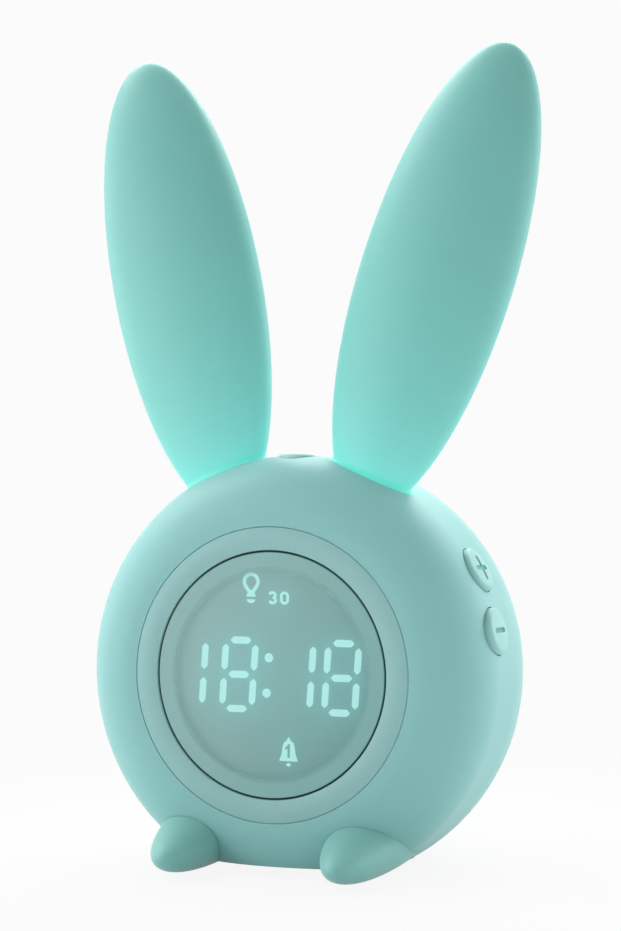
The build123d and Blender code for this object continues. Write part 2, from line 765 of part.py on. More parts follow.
# ---- Feet and base pad ---------------------------------------------------------------
pitch = radians(foot_pitch)
for name, side in foot_places:
    foot_plane = Plane(
        origin=(side * foot_spacing / 2, -foot_heel, foot_middle_height),
        x_dir=right,
        z_dir=(0, -sin(pitch), cos(pitch)),
    )
    foot_egg = egg(foot_plane, foot_half_width, foot_half_length, foot_half_height)
    with BuildPart() as foot:
        add(foot_egg)
        split(bisect_by=Plane.XZ.offset(foot_under), keep=Keep.TOP)
        split(bisect_by=Plane.XY, keep=Keep.TOP)
        add(seat_form, mode=Mode.SUBTRACT)
        with BuildSketch(Plane.XZ.offset(-foot_boss_y + foot_peg_short)):
            with Locations((side * foot_spacing / 2, foot_peg_height)):
                Circle(foot_peg_radius)
        extrude(amount=foot_boss_inset)
        with BuildSketch(Plane.XZ.offset(-foot_boss_y)):
            with Locations((side * foot_spacing / 2, foot_peg_height)):
                Circle(screw_radius + screw_slack)
        extrude(amount=foot_boss_inset, mode=Mode.SUBTRACT)
    foot.part.label = f"foot_{name}"
    export_step(foot.part, f"parts/foot_{name}.step")

foot_screw_places = [(side * foot_spacing / 2, foot_boss_y, foot_peg_height) for _, side in foot_places]
with BuildPart() as foot_washers:
    with BuildSketch(Plane.XZ.offset(-foot_boss_y)):
        with Locations(*[(x, z) for x, _, z in foot_screw_places]):
            Circle(washer_radius)
            Circle(screw_radius + 2 * screw_slack, mode=Mode.SUBTRACT)
    extrude(amount=-washer_thickness)
foot_washers.part.label = "foot_washers"
export_step(foot_washers.part, "parts/foot_washers.step")

with BuildPart() as foot_screws:
    for x, y, z in foot_screw_places:
        plane = Plane(origin=(x, y + washer_thickness, z), x_dir=right, z_dir=(0, 1, 0))
        add(plane.location * foot_screw)
foot_screws.part.label = "foot_screws"
export_step(foot_screws.part, "parts/foot_screws.step")

with BuildPart() as base_pad:
    with BuildSketch(Plane.XY):
        with Locations((0, pad_back)):
            SlotOverall(pad_length, pad_width)
    extrude(amount=base_clearance + pad_recess)
    chamfer(base_pad.faces().sort_by(Axis.Z)[0].edges(), pad_chamfer)
base_pad.part.label = "base_pad"
export_step(base_pad.part, "parts/base_pad.step")


# ---- Buttons -------------------------------------------------------------------------
for name, angle, axial, cap_radius, proud in buttons:
    with BuildPart() as button:
        with BuildSketch(side_plane(angle, axial, flange_depth)):
            Circle(cap_radius)
        extrude(amount=flange_depth + proud)
        face_edges = button.edges().sort_by(Axis(body_centre, side_plane(angle, axial).z_dir))[-1]
        fillet(face_edges, min(button_edge_round, proud * 0.9))
        with BuildSketch(side_plane(angle, axial, flange_depth)):
            Circle(cap_radius + button_flange_overhang)
        extrude(amount=-button_flange_thickness)
        with BuildSketch(side_plane(angle, axial, stem_end)):
            Circle(stem_radius)
        extrude(amount=stem_length)
    button.part.label = f"{name}_button"
    export_step(button.part, f"parts/{name}_button.step")

    with BuildPart() as plunger:
        with BuildSketch(side_plane(angle, axial, stem_end)):
            Circle(plunger_radius)
        extrude(amount=-plunger_height - plunger_in_switch)
    plunger.part.label = f"{name}_plunger"
    export_step(plunger.part, f"parts/{name}_plunger.step")

    with BuildPart() as switch:
        with BuildSketch(side_plane(angle, axial, switch_back)):
            Rectangle(switch_side, switch_side)
        extrude(amount=switch_height)
        with BuildSketch(side_plane(angle, axial, switch_top)):
            Circle(plunger_radius + plunger_gap)
        extrude(amount=-plunger_in_switch - button_travel - plunger_floor, mode=Mode.SUBTRACT)
    switch.part.label = f"{name}_switch"
    export_step(switch.part, f"parts/{name}_switch.step")

# ---- Switch carriers and the snooze board --------------------------------------------
carrier_radius = body_radius - switch_back
for side_name, upper, lower in carrier_sides:
    middle_angle, middle_axial = between(upper, lower)
    span = abs(button_place(upper)[0] - button_place(lower)[0]) + 2 * carrier_end_angle
    outward = side_plane(middle_angle - span / 2, 0).z_dir
    start_plane = Plane(
        origin=body_centre + forward * middle_axial, x_dir=outward, z_dir=outward.cross(forward)
    )
    with BuildPart() as carrier:
        with BuildSketch(start_plane):
            with Locations((carrier_radius - carrier_thickness / 2, 0)):
                Rectangle(carrier_thickness, carrier_width)
        revolve(axis=body_axis, revolution_arc=span)
        with BuildSketch(side_plane(middle_angle, middle_axial, switch_back)):
            SlotCenterToCenter(2 * carrier_tab_reach, carrier_tab_width)
        extrude(amount=-carrier_thickness)
        with BuildSketch(side_plane(middle_angle, middle_axial, switch_back)):
            with Locations((carrier_tab_reach, 0), (-carrier_tab_reach, 0)):
                Circle(screw_radius + 2 * screw_slack)
        extrude(amount=-carrier_thickness, mode=Mode.SUBTRACT)
    carrier.part.label = f"switch_carrier_{side_name}"
    export_step(carrier.part, f"parts/switch_carrier_{side_name}.step")

with BuildPart() as snooze_board:
    with BuildSketch(side_plane(snooze_angle, snooze_axial, switch_back)):
        Rectangle(snooze_board_length, snooze_board_width)
        with Locations((snooze_post_reach, 0), (-snooze_post_reach, 0)):
            Circle(screw_radius + 2 * screw_slack, mode=Mode.SUBTRACT)
    extrude(amount=-board_thickness)
snooze_board.part.label = "snooze_board"
export_step(snooze_board.part, "parts/snooze_board.step")

with BuildPart() as switch_screws:
    for angle, axial, reach in post_places:
        thickness = board_thickness if angle == snooze_angle else carrier_thickness
        seat = side_plane(angle, axial, switch_back + thickness)
        for offset_along in (reach, -reach):
            place = seat.from_local_coords((offset_along, 0, 0))
            plane = Plane(origin=place, x_dir=seat.x_dir, z_dir=-seat.z_dir)
            add(plane.location * small_screw)
switch_screws.part.label = "switch_screws"
export_step(switch_screws.part, "parts/switch_screws.step")

# ---- Cell and tray -------------------------------------------------------------------
with BuildPart() as cell_tray:
    with BuildSketch(Plane.XY.offset(floor_height)):
        Rectangle(cell_length + 2 * (tray_gap + tray_wall), 2 * tray_half_width)
    extrude(amount=tray_floor + tray_rim)
    with BuildSketch(Plane.XY.offset(floor_height + tray_floor)):
        Rectangle(cell_length + 2 * tray_gap, cell_width + 2 * tray_gap)
    extrude(amount=tray_rim, mode=Mode.SUBTRACT)
    with BuildSketch(Plane.XY.offset(tray_top - tray_floor)):
        with Locations((0, tray_screw_y), (0, -tray_screw_y)):
            Circle(post_radius)
        with Locations((0, tray_tab_y), (0, -tray_tab_y)):
            Rectangle(2 * post_radius, tray_tab_reach)
        with Locations((0, tray_screw_y), (0, -tray_screw_y)):
            Circle(screw_radius + 2 * screw_slack, mode=Mode.SUBTRACT)
    extrude(amount=tray_floor)
cell_tray.part.label = "cell_tray"
export_step(cell_tray.part, "parts/cell_tray.step")

with BuildPart() as cell:
    with BuildSketch(Plane.XY.offset(floor_height + tray_floor)):
        RectangleRounded(cell_length, cell_width, cell_corner)
    extrude(amount=cell_thickness)
    fillet(cell.faces().sort_by(Axis.Z)[-1].edges(), cell_corner / 2)
cell.part.label = "cell"
export_step(cell.part, "parts/cell.step")

with BuildPart() as tray_screws:
    for y in (tray_screw_y, -tray_screw_y):
        add(Location((0, y, tray_top)) * small_screw)
tray_screws.part.label = "tray_screws"
export_step(tray_screws.part, "parts/tray_screws.step")

# ---- Speaker -------------------------------------------------------------------------
basket_end = speaker_back - speaker_basket_depth
with BuildPart() as speaker:
    with BuildSketch(profile_plane):
        Polygon(
            (0, speaker_dish_depth - speaker_seat_depth),
            (speaker_magnet_radius, speaker_dish_depth - speaker_seat_depth),
            (speaker_basket_radius - speaker_gap, -speaker_seat_depth),
            (speaker_radius, -speaker_seat_depth),
            (speaker_radius, -speaker_back),
            (speaker_basket_radius - speaker_gap, -speaker_back),
            (speaker_basket_radius - speaker_basket_taper, -basket_end),
            (speaker_magnet_radius, -basket_end),
            (speaker_magnet_radius, speaker_magnet_depth - basket_end),
            (0, speaker_magnet_depth - basket_end),
            align=None,
        )
    revolve(axis=body_axis)
speaker.part.label = "speaker"
export_step(speaker.part, "parts/speaker.step")

with BuildPart() as speaker_clamp:
    with BuildSketch(face_plane.offset(-speaker_back)):
        Circle(speaker_radius)
        with PolarLocations(speaker_screw_circle, 3, start_angle=90):
            Circle(speaker_post_radius)
        with PolarLocations(speaker_radius, 3, start_angle=90):
            Rectangle(speaker_screw_reach * 2, 2 * speaker_post_radius)
        Circle(speaker_basket_radius, mode=Mode.SUBTRACT)
        with PolarLocations(speaker_screw_circle, 3, start_angle=90):
            Circle(screw_radius + 2 * screw_slack, mode=Mode.SUBTRACT)
    extrude(amount=speaker_clamp_thickness)
speaker_clamp.part.label = "speaker_clamp"
export_step(speaker_clamp.part, "parts/speaker_clamp.step")

with BuildPart() as speaker_screws:
    for angle in (90, 210, 330):
        place = body_point(angle, speaker_clamp_thickness - speaker_back, speaker_screw_circle)
        add(Plane(origin=place, x_dir=right, z_dir=forward).location * small_screw)
speaker_screws.part.label = "speaker_screws"
export_step(speaker_screws.part, "parts/speaker_screws.step")

# ---- Charging board and socket -------------------------------------------------------
with BuildPart() as charge_board:
    with BuildSketch(port_plane.offset(charge_board_top)):
        with Locations((0, charge_board_middle)):
            Rectangle(charge_board_size[0], charge_board_size[1])
        with Locations((rail_offset, charge_screw_back), (-rail_offset, charge_screw_back)):
            Circle(screw_radius + 2 * screw_slack, mode=Mode.SUBTRACT)
    extrude(amount=-charge_board_size[2])
charge_board.part.label = "charge_board"
export_step(charge_board.part, "parts/charge_board.step")

with BuildPart() as charge_socket:
    with BuildSketch(port_plane.offset(charge_board_top)):
        with Locations((0, port_mouth_depth - socket_size[1] / 2)):
            Rectangle(socket_size[0], socket_size[1])
    extrude(amount=socket_size[2])
    with BuildSketch(face_plane.offset(-port_mouth_depth)):
        with Locations((0, -port_drop)):
            Rectangle(*socket_hollow)
    extrude(amount=socket_size[1] - socket_wall_thickness, mode=Mode.SUBTRACT)
    with BuildSketch(face_plane.offset(socket_size[1] - port_mouth_depth)):
        with Locations((0, -port_drop)):
            Rectangle(socket_tongue[0], socket_tongue[2])
    extrude(amount=-socket_tongue[1])
charge_socket.part.label = "charge_socket"
export_step(charge_socket.part, "parts/charge_socket.step")

with BuildPart() as charge_screws:
    for x in (rail_offset, -rail_offset):
        place = port_plane.from_local_coords((x, charge_screw_back, charge_board_top))
        add(Plane(origin=place, x_dir=right, z_dir=up).location * small_screw)
charge_screws.part.label = "charge_screws"
export_step(charge_screws.part, "parts/charge_screws.step")

# ---- Housing screws ------------------------------------------------------------------
with BuildPart() as housing_screws:
    for angle in (45, 135, 225, 315):
        place = body_point(angle, -seam_depth - housing_screw_floor, housing_screw_circle)
        add(Plane(origin=place, x_dir=right, z_dir=-forward).location * housing_screw)
housing_screws.part.label = "housing_screws"
export_step(housing_screws.part, "parts/housing_screws.step")
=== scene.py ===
"""Looks of a rabbit-eared bedside alarm clock with a night light.

Each sub-assembly is a class that holds its sizes in millimetres, builds its meshes in the
model's own frame (metres, +Z up, display facing -Y) and dresses them in procedural finishes.
"""
import json
import logging
import math
from dataclasses import dataclass, field
from enum import Enum
from typing import Callable, Iterable, Optional, Sequence, Union

import bmesh
import bpy
import numpy as np
from mathutils import Matrix, Vector

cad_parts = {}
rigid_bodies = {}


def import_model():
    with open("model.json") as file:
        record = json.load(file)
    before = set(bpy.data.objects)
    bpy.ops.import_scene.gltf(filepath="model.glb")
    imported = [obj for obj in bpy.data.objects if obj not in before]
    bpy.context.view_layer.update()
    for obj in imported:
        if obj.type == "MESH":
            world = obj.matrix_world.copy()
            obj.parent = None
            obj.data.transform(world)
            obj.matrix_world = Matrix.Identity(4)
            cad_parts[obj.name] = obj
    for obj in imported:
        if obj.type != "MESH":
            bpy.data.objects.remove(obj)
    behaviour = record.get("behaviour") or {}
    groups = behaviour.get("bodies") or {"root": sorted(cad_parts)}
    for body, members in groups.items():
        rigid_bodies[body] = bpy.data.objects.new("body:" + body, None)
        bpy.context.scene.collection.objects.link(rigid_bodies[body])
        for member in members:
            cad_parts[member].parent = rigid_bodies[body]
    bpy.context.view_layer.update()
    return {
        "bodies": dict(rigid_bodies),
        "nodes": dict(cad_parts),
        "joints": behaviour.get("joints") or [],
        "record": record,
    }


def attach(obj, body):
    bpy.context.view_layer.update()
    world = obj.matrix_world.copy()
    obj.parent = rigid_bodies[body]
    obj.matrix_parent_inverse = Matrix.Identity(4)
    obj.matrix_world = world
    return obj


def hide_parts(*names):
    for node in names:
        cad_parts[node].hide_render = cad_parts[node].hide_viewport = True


LOG = logging.getLogger("clock")
MM = 0.001
FAR_BACK = -60.0  # a depth behind the whole body, in millimetres
PLATE = 0.4  # thickness of the display's lit shapes, in millimetres
Array = np.ndarray
Numbers = Union[float, Array]
Line = Union[Array, Sequence[tuple[float, float]]]
Piece = bpy.types.Object
Paint = bpy.types.Material
Colour = tuple[float, float, float]
SEEN_RAYS = ("Camera", "Glossy", "Transmission")
BLACK = (0.0, 0.0, 0.0)
WHITE = (1.0, 1.0, 1.0)


class Side(Enum):
    """The clock's two sides, as seen by a person who reads the display."""

    LEFT = -1
    RIGHT = 1


class Mark(Enum):
    """The sign pressed into a button's face."""

    NONE = "none"
    PLUS = "plus"
    MINUS = "minus"
    RING = "ring"
    DOT = "dot"


# ---- Shader building ---------------------------------------------------------


@dataclass(frozen=True)
class Wire:
    """An output socket that takes part in Python expressions."""

    shader: "Shader"
    socket: bpy.types.NodeSocket

    def _math(self, operation: str, first: "Value", second: "Value") -> "Wire":
        """Joins two values with one Math node."""
        return self.shader.node("ShaderNodeMath", {"operation": operation}, {0: first, 1: second})

    def __add__(self, other: "Value") -> "Wire":
        """This value plus another."""
        return self._math("ADD", self, other)

    def __radd__(self, other: float) -> "Wire":
        """A number plus this value."""
        return self._math("ADD", other, self)

    def __sub__(self, other: "Value") -> "Wire":
        """This value minus another."""
        return self._math("SUBTRACT", self, other)

    def __rsub__(self, other: float) -> "Wire":
        """A number minus this value."""
        return self._math("SUBTRACT", other, self)

    def __mul__(self, other: "Value") -> "Wire":
        """This value times another."""
        return self._math("MULTIPLY", self, other)

    def __rmul__(self, other: float) -> "Wire":
        """A number times this value."""
        return self._math("MULTIPLY", other, self)

    def held(self) -> "Wire":
        """This value kept between 0 and 1."""
        return self.shader.node("ShaderNodeClamp", {}, {"Value": self})


Value = Union[Wire, float, int]


class Shader:
    """The node tree of a material or of the world, with short ways to add to it."""

    def __init__(self, name: str, world: Optional[bpy.types.World] = None) -> None:
        """Starts an empty tree.

        Args:
            name: the material's name.
            world: the world that the tree belongs to, where it isn't a material's.
        """
        self.owner = world or bpy.data.materials.new(name)
        self.owner.use_nodes = True
        self.tree = self.owner.node_tree
        self.tree.nodes.clear()
        kind = "ShaderNodeOutputWorld" if world else "ShaderNodeOutputMaterial"
        self.output = self.tree.nodes.new(kind)

    def node(
        self,
        kind: str,
        settings: dict[str, object],
        inputs: dict[Union[str, int], object],
        output: Union[str, int] = 0,
    ) -> Wire:
        """Adds one node.

        Args:
            kind: the node's type name.
            settings: properties that are set on the node first.
            inputs: values or wires for its sockets, by name or index.
            output: the output socket to hand back.

        Returns:
            The chosen output as a wire.
        """
        made = self.tree.nodes.new(kind)
        for key, value in settings.items():
            setattr(made, key, value)
        for key, value in inputs.items():
            if isinstance(value, Wire):
                self.tree.links.new(value.socket, made.inputs[key])
            else:
                made.inputs[key].default_value = value
        return Wire(self, made.outputs[output])

    def place(self) -> Wire:
        """The point's place in the object's own space."""
        return self.node("ShaderNodeTexCoord", {}, {}, "Object")

    def attribute(self, name: str) -> Wire:
        """A value stored on the mesh's points."""
        return self.node("ShaderNodeAttribute", {"attribute_name": name}, {}, "Fac")

    def noise(self, scale: float, detail: float = 2.0, roughness: float = 0.5) -> Wire:
        """Smooth noise between 0 and 1 in object space."""
        return self.node(
            "ShaderNodeTexNoise",
            {},
            {"Vector": self.place(), "Scale": scale, "Detail": detail, "Roughness": roughness},
        )

    def grain(self, scale: float) -> Wire:
        """The distances of a fine cell pattern, for moulded grain."""
        return self.node("ShaderNodeTexVoronoi", {}, {"Vector": self.place(), "Scale": scale})

    def blend(self, amount: Value, first: object, second: object) -> Wire:
        """A colour between two others.

        Args:
            amount: 0 for the first colour, 1 for the second.
            first: a colour or a wire.
            second: a colour or a wire.

        Returns:
            The mixed colour.
        """
        return self.node(
            "ShaderNodeMix",
            {"data_type": "RGBA"},
            {0: amount, 6: with_alpha(first), 7: with_alpha(second)},
            2,
        )

    def bump(self, height: Wire, distance: float) -> Wire:
        """A normal disturbed by a height."""
        return self.node(
            "ShaderNodeBump", {}, {"Strength": 1.0, "Distance": distance, "Height": height}
        )

    def seen(self) -> Wire:
        """1 for rays by which a viewer sees the surface, in a mirror or glass too, and else 0."""
        rays = [self.node("ShaderNodeLightPath", {}, {}, f"Is {kind} Ray") for kind in SEEN_RAYS]
        return (rays[0] + rays[1] + rays[2]).held()

    def end(self, surface: Wire) -> bpy.types.ID:
        """Ends the tree in a surface and hands its owner back."""
        self.tree.links.new(surface.socket, self.output.inputs["Surface"])
        return self.owner

    def finish(self, inputs: dict[str, object]) -> Paint:
        """Ends the tree in one principled surface.

        Args:
            inputs: values or wires for the surface's sockets.

        Returns:
            The finished material.
        """
        ready = {
            key: with_alpha(value) if "Color" in key else value for key, value in inputs.items()
        }
        return self.end(self.node("ShaderNodeBsdfPrincipled", {}, ready))


def with_alpha(value: object) -> object:
    """Adds an alpha to a plain colour and leaves wires as they are."""
    return value if isinstance(value, Wire) else (*value, 1.0)


def darker(colour: Colour, share: float) -> Colour:
    """A colour with a share of its light."""
    return tuple(value * share for value in colour)


# ---- Finishes ----------------------------------------------------------------


@dataclass(frozen=True)
class SoftTouch:
    """Soft-touch moulded plastic: an even colour with faint clouding and a fine satin grain."""

    name: str
    colour: Colour
    shade: Colour
    roughness: float = 0.5
    cloud_scale: float = 38.0
    grain_scale: float = 2600.0
    speck_scale: float = 1900.0
    grain_height: float = 0.00002
    glow_base: Colour = (0.13, 0.42, 0.40)
    glow_colour: Colour = (0.0, 0.24, 0.17)
    glow_strength: float = 0.0
    sunk_shade: Optional[Colour] = None

    def make(self) -> Paint:
        """Builds the material."""
        shader = Shader(self.name)
        cloud = shader.noise(self.cloud_scale, 3.0)
        fine = shader.noise(self.grain_scale, 1.0)
        speck = shader.grain(self.speck_scale)
        colour = shader.blend(cloud * 0.55 + fine * 0.25, self.colour, self.shade)
        inputs: dict[str, object] = {
            "Base Color": colour,
            "Roughness": self.roughness - 0.05 + cloud * 0.07 + fine * 0.05,
            "Normal": shader.bump(fine * 0.6 + speck * 0.4, self.grain_height),
            "Specular IOR Level": 0.35,
            "Sheen Weight": 0.12,
            "Sheen Roughness": 0.45,
        }
        # painted shade: the pressed-in sign is darkened by how deep each point is sunk
        if self.sunk_shade:
            inputs["Base Color"] = shader.blend(shader.attribute("mark"), colour, self.sunk_shade)
        # painted light: where the ears' light spills on the body near their roots, a glow colour is
        # painted into base colour and emission
        if self.glow_strength:
            glow = shader.attribute("glow")
            inputs["Base Color"] = shader.blend(glow, colour, self.glow_base)
            inputs["Emission Color"] = shader.blend(glow, BLACK, self.glow_colour)
            inputs["Emission Strength"] = self.glow_strength
        return shader.finish(inputs)


@dataclass(frozen=True)
class LitSilicone:
    """Milky silicone lit from inside: brightest near its root, where the lamp sits."""

    name: str = "lit_silicone"
    colour: Colour = (0.166, 0.436, 0.400)
    glow_colour: Colour = (0.066, 0.425, 0.388)
    root_glow: Colour = (0.000, 0.350, 0.270)
    glow_strength: float = 1.0
    roughness: float = 0.46
    cloud_scale: float = 45.0
    grain_scale: float = 2400.0
    grain_height: float = 0.000015

    def make(self) -> Paint:
        """Builds the material."""
        shader = Shader(self.name)
        glow = shader.attribute("glow")
        depth = shader.attribute("root")
        cloud = shader.noise(self.cloud_scale, 3.0)
        fine = shader.noise(self.grain_scale, 1.0)
        light = shader.blend(depth, self.glow_colour, self.root_glow)
        return shader.finish(
            {
                "Base Color": shader.blend(cloud * 0.5, self.colour, darker(self.colour, 0.92)),
                "Roughness": self.roughness - 0.04 + cloud * 0.08,
                "Normal": shader.bump(fine, self.grain_height),
                "Specular IOR Level": 0.28,
                "Sheen Weight": 0.05,
                "Sheen Roughness": 0.4,
                "Subsurface Weight": 0.1,
                "Subsurface Radius": (0.6, 1.0, 0.95),
                "Subsurface Scale": 0.006,
                "Emission Color": shader.blend(glow, BLACK, light),
                "Emission Strength": self.glow_strength,
            }
        )


@dataclass(frozen=True)
class TintedAcrylic:
    """The display's tinted window: clear over the lamps, milky at its rim, with an even glow
    painted in place of the light and reflections on it, lighter to the left and top as painted
    light, darker to the right and bottom as painted shade.
    """

    name: str = "tinted_acrylic"
    colour: Colour = (0.181, 0.328, 0.318)
    scatter: Colour = (0.065, 0.103, 0.096)
    painted_window_shade: Colour = (0.010, 0.058, 0.052)
    alpha: float = 0.15
    roughness: float = 0.16
    haze_scale: float = 30.0

    def make(self) -> Paint:
        """Builds the material."""
        shader = Shader(self.name)
        haze = shader.noise(self.haze_scale)
        rim = shader.attribute("rim")
        # painted light and reflection: the window's glow is lighter towards the left and top and
        # darker towards the right and bottom
        lit = shader.attribute("edge") - haze * 0.1
        return shader.finish(
            {
                "Base Color": shader.blend(haze * 0.4, self.colour, darker(self.colour, 0.92)),
                "Roughness": self.roughness + haze * 0.05,
                "Alpha": rim * (1 - self.alpha) + self.alpha + haze * (1 - rim) * 0.02,
                "Emission Color": shader.blend(lit.held(), self.painted_window_shade, self.scatter),
                "Emission Strength": 1.0,
                "Specular IOR Level": 0.4,
            }
        )


@dataclass(frozen=True)
class LampFace:
    """The face behind the window: an even glow painted in place of the light that falls on it,
    lighter to the left and top as painted light, darker to the right and bottom as painted shade,
    and the painted halo of the numerals.
    """

    name: str = "lamp_face"
    colour: Colour = (0.10, 0.16, 0.16)
    shade: Colour = (0.09, 0.15, 0.15)
    painted_face_light: Colour = (0.215, 0.310, 0.300)
    painted_face_shade: Colour = (0.055, 0.150, 0.140)
    halo: Colour = (0.160, 0.700, 0.670)
    cloud_scale: float = 24.0
    grain_scale: float = 1500.0

    def make(self) -> Paint:
        """Builds the material."""
        shader = Shader(self.name)
        glow = shader.attribute("glow")
        # painted light and shade: the face's glow is lighter towards the left and top and darker
        # towards the right and bottom
        painted_face_light = shader.blend(shader.attribute("edge"), self.painted_face_shade, self.painted_face_light)
        cloud = shader.noise(self.cloud_scale)
        fine = shader.noise(self.grain_scale, 1.0)
        return shader.finish(
            {
                "Base Color": shader.blend(cloud, self.colour, self.shade),
                "Roughness": 0.55 + fine * 0.1,
                "Normal": shader.bump(cloud, 0.00002),
                "Emission Color": shader.blend(glow, painted_face_light, self.halo),
                "Emission Strength": 1.0,
            }
        )


@dataclass(frozen=True)
class LitPlastic:
    """Light-pipe plastic of a lit segment, with a faint unevenness in its light."""

    name: str = "lit_segments"
    colour: Colour = (0.30, 0.50, 0.50)
    light: Colour = (0.29, 0.58, 0.55)
    strength: float = 1.0
    flicker_scale: float = 260.0

    def make(self) -> Paint:
        """Builds the material."""
        shader = Shader(self.name)
        flicker = shader.noise(self.flicker_scale, 1.0)
        light = shader.blend(flicker * 0.35, self.light, darker(self.light, 0.88))
        return shader.finish(
            {
                "Base Color": self.colour,
                "Roughness": 0.4 + flicker * 0.1,
                "Emission Color": light,
                "Emission Strength": self.strength,
            }
        )


@dataclass(frozen=True)
class MouldedPlastic:
    """Plain moulded plastic or rubber of an inner piece, with a light grain."""

    name: str
    colour: Colour
    roughness: float = 0.5
    contrast: float = 0.12
    grain_height: float = 0.00003
    cloud_scale: float = 90.0
    speck_scale: float = 1600.0

    def make(self) -> Paint:
        """Builds the material."""
        shader = Shader(self.name)
        cloud = shader.noise(self.cloud_scale, 3.0)
        speck = shader.grain(self.speck_scale)
        dark = darker(self.colour, 1.0 - self.contrast)
        return shader.finish(
            {
                "Base Color": shader.blend(cloud, self.colour, dark),
                "Roughness": self.roughness - 0.05 + cloud * 0.1,
                "Normal": shader.bump(speck, self.grain_height),
            }
        )


@dataclass(frozen=True)
class PlatedSteel:
    """Zinc-plated steel with faint turning marks."""

    name: str = "plated_steel"
    colour: Colour = (0.60, 0.60, 0.61)
    roughness: float = 0.34
    streak_scale: float = 900.0
    cloud_scale: float = 120.0

    def make(self) -> Paint:
        """Builds the material."""
        shader = Shader(self.name)
        streak = shader.noise(self.streak_scale)
        cloud = shader.noise(self.cloud_scale, 3.0)
        return shader.finish(
            {
                "Base Color": shader.blend(cloud, self.colour, darker(self.colour, 0.8)),
                "Roughness": self.roughness + streak * 0.12,
                "Metallic": 1.0,
                "Normal": shader.bump(streak, 0.000008),
            }
        )


@dataclass(frozen=True)
class CircuitBoard:
    """Green solder mask over copper tracks that run in straight lines."""

    name: str = "board_green"
    mask: Colour = (0.03, 0.19, 0.09)
    track: Colour = (0.05, 0.28, 0.13)
    track_scale: float = 260.0
    track_width: float = 0.06
    cloud_scale: float = 150.0

    def make(self) -> Paint:
        """Builds the material."""
        shader = Shader(self.name)
        lines = shader.node(
            "ShaderNodeTexBrick",
            {"offset": 0.5},
            {
                "Vector": shader.place(),
                "Scale": self.track_scale,
                "Mortar Size": self.track_width,
                "Color1": with_alpha(BLACK),
                "Color2": with_alpha(BLACK),
                "Mortar": with_alpha(WHITE),
            },
            "Fac",
        )
        cloud = shader.noise(self.cloud_scale)
        return shader.finish(
            {
                "Base Color": shader.blend(lines, self.mask, self.track),
                "Roughness": 0.3 + cloud * 0.12,
                "Normal": shader.bump(lines, 0.00003),
            }
        )


@dataclass(frozen=True)
class Foil:
    """Crinkled foil wrap of the flat cell."""

    name: str = "cell_foil"
    colour: Colour = (0.66, 0.68, 0.70)
    crease_scale: float = 220.0
    crease_height: float = 0.0002

    def make(self) -> Paint:
        """Builds the material."""
        shader = Shader(self.name)
        crease = shader.noise(self.crease_scale, 4.0, 0.6)
        return shader.finish(
            {
                "Base Color": shader.blend(crease, self.colour, darker(self.colour, 0.8)),
                "Roughness": 0.3 + crease * 0.15,
                "Metallic": 0.85,
                "Normal": shader.bump(crease, self.crease_height),
            }
        )


# ---- The body's own frame and form -------------------------------------------


def unit(vectors: Array) -> Array:
    """Vectors scaled to length 1."""
    return vectors / np.maximum(np.linalg.norm(vectors, axis=-1, keepdims=True), 1e-12)


def full_turn(count: int) -> Array:
    """Angles evenly round a circle."""
    return np.linspace(0, 2 * math.pi, count, endpoint=False)


